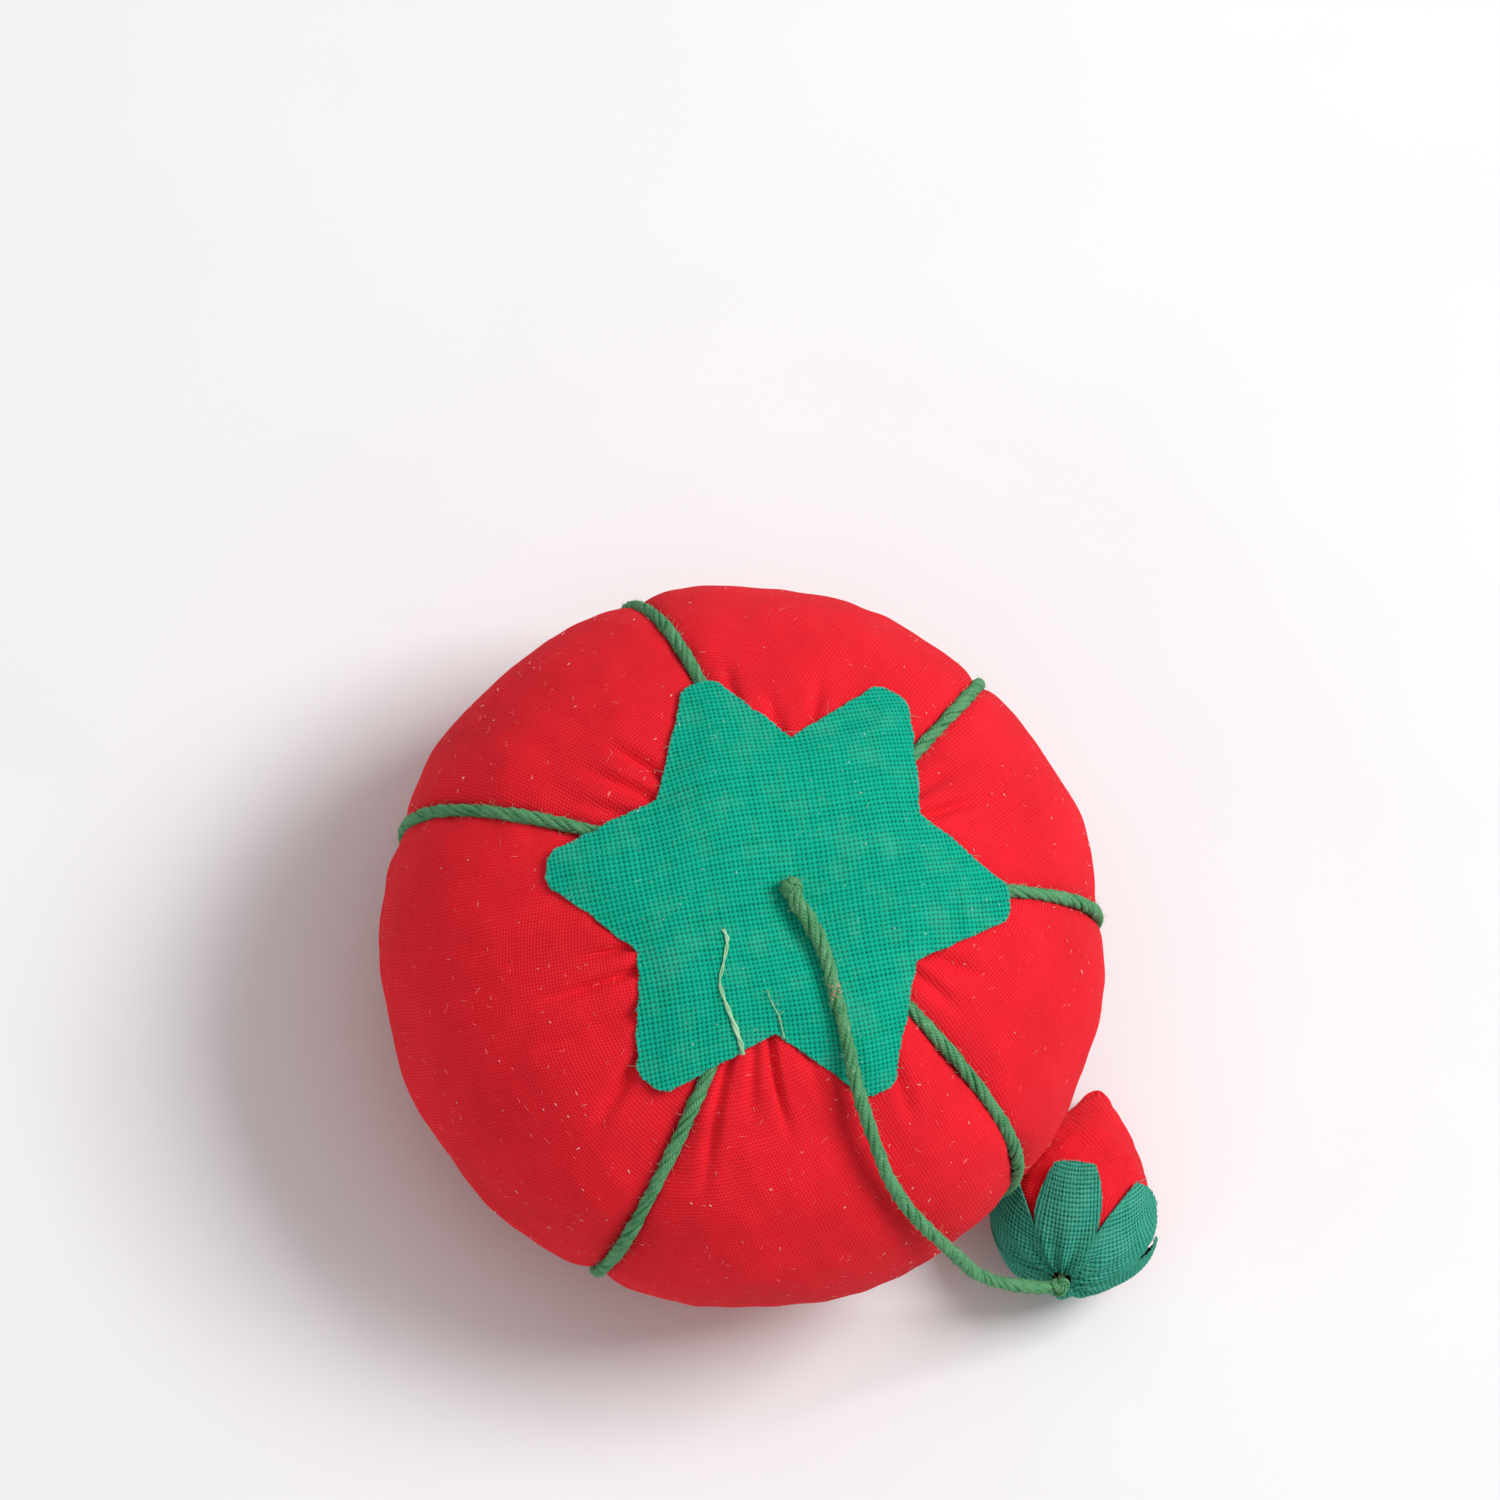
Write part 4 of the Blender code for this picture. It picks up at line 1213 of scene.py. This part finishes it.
def surface_samples(item, count, seed, wanted):
    """Random points of a piece's surface with their normals, where wanted(points, normals) holds."""
    mesh = item.data
    normals = np.zeros(len(mesh.polygons) * 3)
    centres = np.zeros(len(mesh.polygons) * 3)
    areas = np.zeros(len(mesh.polygons))
    mesh.polygons.foreach_get("normal", normals)
    mesh.polygons.foreach_get("center", centres)
    mesh.polygons.foreach_get("area", areas)
    centres, normals = centres.reshape(-1, 3), normals.reshape(-1, 3)
    weights = areas * wanted(centres, normals)
    chosen = seeded(seed).choice(len(areas), count, p=weights / weights.sum())
    return centres[chosen], normals[chosen]


def lint(name, item, count, seed, material, body, slot, wanted, lengths, radius, rise=0.5):
    """Short fibres lying on a piece's surface."""
    random = seeded(seed)
    roots, normals = surface_samples(item, count, seed, wanted)
    flat = unit(np.cross(normals, random.normal(size=(count, 3))))
    directions = unit(flat + normals * random.uniform(0.0, rise, (count, 1)))
    shape = Shape()
    sizes = random.uniform(*lengths, count) * MM
    thick = radius * np.where(sizes < 0.3 * MM, 2.6, 1.0)
    for root, normal, direction, size, width in zip(roots, normals, directions, sizes, thick):
        bend = np.cross(normal, direction) * random.uniform(-0.5, 0.5)
        steps = np.linspace(0.0, 1.0, 4)[:, None]
        centres = root + normal * 0.02 * MM + size * (direction * steps + bend * steps ** 2)
        add_tube(shape, centres, width * (1.0 - 0.5 * steps[:, 0]), 4)
    shape.piece(name, [material], body, slot)


def higher_than(height):
    return lambda points, normals: (points[:, 2] > height) * 1.0


def facing_up(points, normals):
    return (normals[:, 2] > 0.3) * 1.0


def anywhere(points, normals):
    return np.ones(len(points))


on_tomato = ("tomato", "tomato_cotton")
lint("tomato_lint", tomato, 160, 81, pale_lint, *on_tomato, higher_than(3 * MM), (0.05, 0.30), 0.013 * MM)
lint("tomato_fuzz", tomato, 900, 82, red_fuzz, *on_tomato, higher_than(1 * MM), (0.2, 0.6), 0.009 * MM)
on_star = ("tomato", "star_cotton", facing_up)
lint("star_lint", star, 110, 83, star_fuzz, *on_star, (0.06, 0.6), 0.012 * MM, 0.12)
lint("star_specks", star, 26, 86, star_fuzz, *on_star, (0.10, 0.20), 0.024 * MM, 0.1)


# The strawberry: local -Z runs from the knot at its neck to its tip

BERRY_LENGTH = 16.6 * MM
BERRY_RADIUS = 5.6 * MM
BERRY_SETBACK = 0.9 * MM
BERRY_SKEW = 0.62
BERRY_FULLNESS = 0.85
NECK_OPENING = 0.012
LEAF_COUNT = 6
LEAF_TIP = 0.36
LEAF_NOTCH = 0.10
CAP_LIFT = 0.42 * MM  # the cap's middle surface above the strawberry
CAP_HOLE = 0.5 * MM
berry_turn = np.array(Vector((0.0, 0.0, 1.0)).rotation_difference(-TOWARDS_TIP).to_matrix())


def in_place(local):
    return np.array(NECK) + local @ berry_turn.T


def berry_profile(share):
    """Radius and height at a share of the strawberry's length, in its own frame."""
    share = np.clip(share, 0.0, 1.0)
    radius = BERRY_RADIUS * np.maximum(np.sin(pi * share ** BERRY_SKEW), 0.0) ** BERRY_FULLNESS
    return radius, -BERRY_SETBACK - share * BERRY_LENGTH


def berry_section(share, above=0.0):
    """The profile moved outwards by a distance."""
    small = 0.004
    after, before = berry_profile(share + small), berry_profile(share - small)
    along = unit(np.stack([after[0] - before[0], after[1] - before[1]], -1))
    radius, height = berry_profile(share)
    return radius - along[..., 1] * above, height + along[..., 0] * above


def berry_creases(turn, share, seed, count, depth, reach):
    """Soft gathers that run down from the neck."""
    random = seeded(seed)
    total = np.zeros(np.broadcast(turn, share).shape)
    for i in range(count):
        at = (i + random.uniform(-0.3, 0.3)) / count
        length = random.uniform(*reach)
        width = random.uniform(0.010, 0.018)
        off = (turn - at + 0.5) % 1.0 - 0.5
        fold = depth * random.uniform(0.5, 1.2) * np.exp(-(off / width) ** 2)
        total += fold * smoothstep((length - share) / length)
    return total


def make_strawberry():
    rows, columns = 150, 200
    share = NECK_OPENING + (1 - NECK_OPENING) * (1 - np.cos(np.linspace(0, pi, rows))) / 2
    share, turn = share[:, None], (np.arange(columns) / columns)[None, :]
    around = tau * turn
    depth = berry_creases(turn, share, 91, 16, 0.22 * MM, (0.3, 0.62)) + 0.05 * MM
    tip_gathers = 0.10 * MM * np.cos(9 * around + 2 * np.sin(around)) * smoothstep((share - 0.86) / 0.12)
    seam = 0.16 * MM * np.exp(-(wrapped(around - 4.4) / 0.05) ** 2) * smoothstep((1 - share) / 0.06)
    out, up = berry_section(share * np.ones_like(turn))
    spot = around_z(out, around, up)
    depth = depth + seam + tip_gathers
    depth = depth + 0.07 * MM * lumps(spot, 4.5 * MM, 92) + 0.02 * MM * lumps(spot, 1.2 * MM, 93)
    depth = depth * np.minimum(1.0, np.broadcast_to(out, depth.shape) / (1.0 * MM))
    out, up = berry_section(share * np.ones_like(turn), -depth)
    out = np.maximum(out, 0.0)
    out[-1] = 0.0
    points = in_place(around_z(out, around, up))
    faces = grid_faces(rows, columns, True)
    corner_row, corner_column = faces // columns, faces % columns
    wide = berry_profile(share[:, 0])[0][corner_row]
    past_seam = (corner_column == 0) & (np.max(corner_column, 1, keepdims=True) == columns - 1)
    turned = np.where(past_seam, columns, corner_column)
    across = wide * (turned / columns - 0.5) * tau
    down = share[:, 0][corner_row] * BERRY_LENGTH
    cloth = np.stack([across + down * 0.6, down - across * 0.6], -1) / (WEAVE_PITCH * 1.17)
    shape = Shape()
    shape.add(points, faces[:, ::-1], cloth[:, ::-1])
    berry = shape.piece(
        "strawberry_cloth", [strawberry_cotton], "strawberry", "strawberry_cloth", "strawberry_cover"
    )
    return berry


def leaf_place(turn):
    """How far across its leaf each place is, from 0 in the middle to 1 at the edge."""
    return np.abs((turn * LEAF_COUNT) % 1.0 - 0.5) * 2


def leaf_reach(turn):
    """How far down the strawberry the cap reaches: broad leaves with rounded corners and narrow notches."""
    across = leaf_place(turn)
    uneven = 0.022 * np.sin(tau * turn * 2 + 0.7) + 0.012 * np.sin(tau * turn * 5)
    cut = np.clip((across - 0.46) / 0.54, 0.0, 1.0)
    cut = 0.8 * cut + 0.2 * cut ** 3
    rounded = 0.02 * across ** 2
    return LEAF_TIP + uneven * (1 - cut) - rounded - (LEAF_TIP - LEAF_NOTCH - 0.02) * cut


def add_cap_fray(shape, points):
    """Thread ends that stand out of the leaves' cut edge."""
    random = seeded(99)
    for root, before in zip(points[-1, ::2], points[-4, ::2]):
        if random.random() < 0.75:
            length = (random.uniform(0.4, 0.9) if random.random() < 0.08 else random.uniform(0.04, 0.2)) * MM
            lean = unit(unit(root - before) + random.normal(size=3) * 0.3)
            line = root + lean * np.linspace(-0.1 * MM, length, 4)[:, None]
            add_tube(shape, line, np.linspace(1, 0.4, 4) * 0.04 * MM, 4, 1)


def make_cap():
    rows, columns = 120, 540
    turn = (np.arange(columns) / columns)[None, :]
    inward = (np.linspace(0, 1, rows) ** 1.05)[:, None]
    reach = leaf_reach(turn)
    start = 0.003
    share = start + (reach - start) * inward
    around = tau * turn
    finer = np.linspace(0, 0.6, 400)
    out, up = berry_section(finer)
    arcs = np.concatenate([[0], np.cumsum(np.hypot(np.diff(out), np.diff(up)))]) + 0.6 * MM
    flat_radius = np.interp(share, finer, arcs)
    flat = np.stack([flat_radius * np.cos(around), flat_radius * np.sin(around)], -1)
    threads = flat / STAR_PITCH
    slow = with_zero(threads)
    threads = threads + np.stack([0.4 * lumps(slow, 21.0, 95), 0.4 * lumps(slow, 25.0, 96)], -1)
    relief = weave_height(threads[..., 0], threads[..., 1], 97)
    across = leaf_place(turn)
    lifting = 0.18 * MM * smoothstep((inward - 0.6) / 0.4) * (1 - across ** 2)
    folds = 0.16 * MM * np.cos(around * LEAF_COUNT * 2 + 0.5) * smoothstep((0.55 - inward) / 0.5)
    ruck = 0.10 * MM * lumps(slow, 15.0, 98)
    tucked = 0.22 * MM * np.exp(-(share / 0.012) ** 2)
    above = CAP_LIFT + lifting + folds + ruck - tucked + (relief - RELIEF_MIDDLE) * 1.6 * THREAD_RELIEF

    def laid(height):
        """The cap's grid at a height above the strawberry, open in the middle for the knot."""
        out, up = berry_section(share, height)
        return in_place(around_z(np.maximum(out, CAP_HOLE), around, up))

    points = laid(above)
    lower = laid(above - CLOTH_THICKNESS)
    faces = grid_faces(rows, columns, True)[:, ::-1]
    shape = Shape()
    shape.add(points, faces, threads.reshape(-1, 2)[faces], relief)
    edge = slice((rows - 1) * columns, rows * columns)
    rim_points = np.concatenate([points.reshape(-1, 3)[edge], lower.reshape(-1, 3)[edge]])
    rim_threads = np.concatenate([threads.reshape(-1, 2)[edge]] * 2)
    shape.add(rim_points, grid_faces(2, columns, True)[:, ::-1], rim_threads, np.full(2 * columns, 0.7))
    add_cap_fray(shape, points)
    looks = [cap_cotton, cut_ends]
    cap = shape.piece("strawberry_cap", looks, "strawberry", "cap_cotton", "strawberry_calyx")
    return cap


strawberry = make_strawberry()
cap = make_cap()
on_berry = ("strawberry", "strawberry_cloth")
lint("strawberry_fuzz", strawberry, 500, 84, red_fuzz, *on_berry, anywhere, (0.25, 0.7), 0.012 * MM)
lint("cap_fuzz", cap, 120, 85, star_fuzz, "strawberry", "cap_cotton", anywhere, (0.2, 0.7), 0.012 * MM)


# The pieces that keep their CAD shape

red_thread = cord_look("red_thread", RED_SHADES, (1.0, 0.4, 0.4))
CAD_LOOKS = {
    "tomato_stuffing": grain_look("fibre_stuffing", (0.55, 0.48, 0.38), (0.85, 0.80, 0.70), 700.0, 0.2 * MM),
    "emery_filling": grain_look("emery_grit", (0.02, 0.02, 0.02), (0.16, 0.15, 0.14), 3000.0, 0.1 * MM, 0.55),
    "top_gathering_thread": red_thread,
    "bottom_gathering_thread": red_thread,
    "strawberry_gathering_thread": red_thread,
    "core_thread": grain_look("core_thread", CORD_SHADES[0], CORD_SHADES[2], 1800.0, 0.1 * MM),
}
for node_name, look in CAD_LOOKS.items():
    node_mesh = frame["nodes"][node_name]
    for material_slot in node_mesh.material_slots:
        material_slot.link = "OBJECT"
        material_slot.material = look


# Floor and light


def make_floor():
    half = 1.5
    mesh = bpy.data.meshes.new("floor")
    corners = [(-half, -half, 0), (half, -half, 0), (half, half, 0), (-half, half, 0)]
    mesh.from_pydata(corners, [], [(0, 1, 2, 3)])
    look = Look("floor", roughness=0.8, specular=0.1)
    patches = look.noise(look.place(), 40.0, 2.0)
    pale = look.ramp(patches, (0.3, (0.80, 0.80, 0.81)), (0.7, (0.82, 0.82, 0.83)))
    mesh.materials.append(look.finish(pale))
    floor = placed("floor", mesh)
    floor.location.z = -0.02 * MM


def soft_lamp(name, direction, distance, size, power):
    """A square area lamp that looks at the object from a direction."""
    data = bpy.data.lights.new(name, "AREA")
    data.shape = "SQUARE"
    data.size = size
    data.energy = power
    lamp = placed(name, data)
    towards = Vector(direction).normalized()
    lamp.location = Vector((0, 0, 0.015)) + towards * distance
    lamp.rotation_euler = towards.to_track_quat("Z", "Y").to_euler()


def make_light():
    from_right = picture_right * 0.75 + picture_up * 0.25 + Vector((0, 0, 0.9))
    from_left = -picture_right * 0.8 - picture_up * 0.5 + Vector((0, 0, 0.6))
    soft_lamp("key", from_right, distance=0.7, size=0.30, power=4.0)
    soft_lamp("overhead", (0.0, 0.05, 1.0), distance=0.9, size=0.9, power=1.5)
    soft_lamp("fill", from_left, distance=0.9, size=0.7, power=1.0)
    world = bpy.data.worlds.new("world")
    world.use_nodes = True
    background = world.node_tree.nodes["Background"]
    background.inputs[0].default_value = (1.0, 1.0, 1.0, 1.0)
    background.inputs[1].default_value = 0.36
    bpy.context.scene.world = world


make_floor()
make_light()
bpy.context.scene.view_settings.view_transform = "Standard"
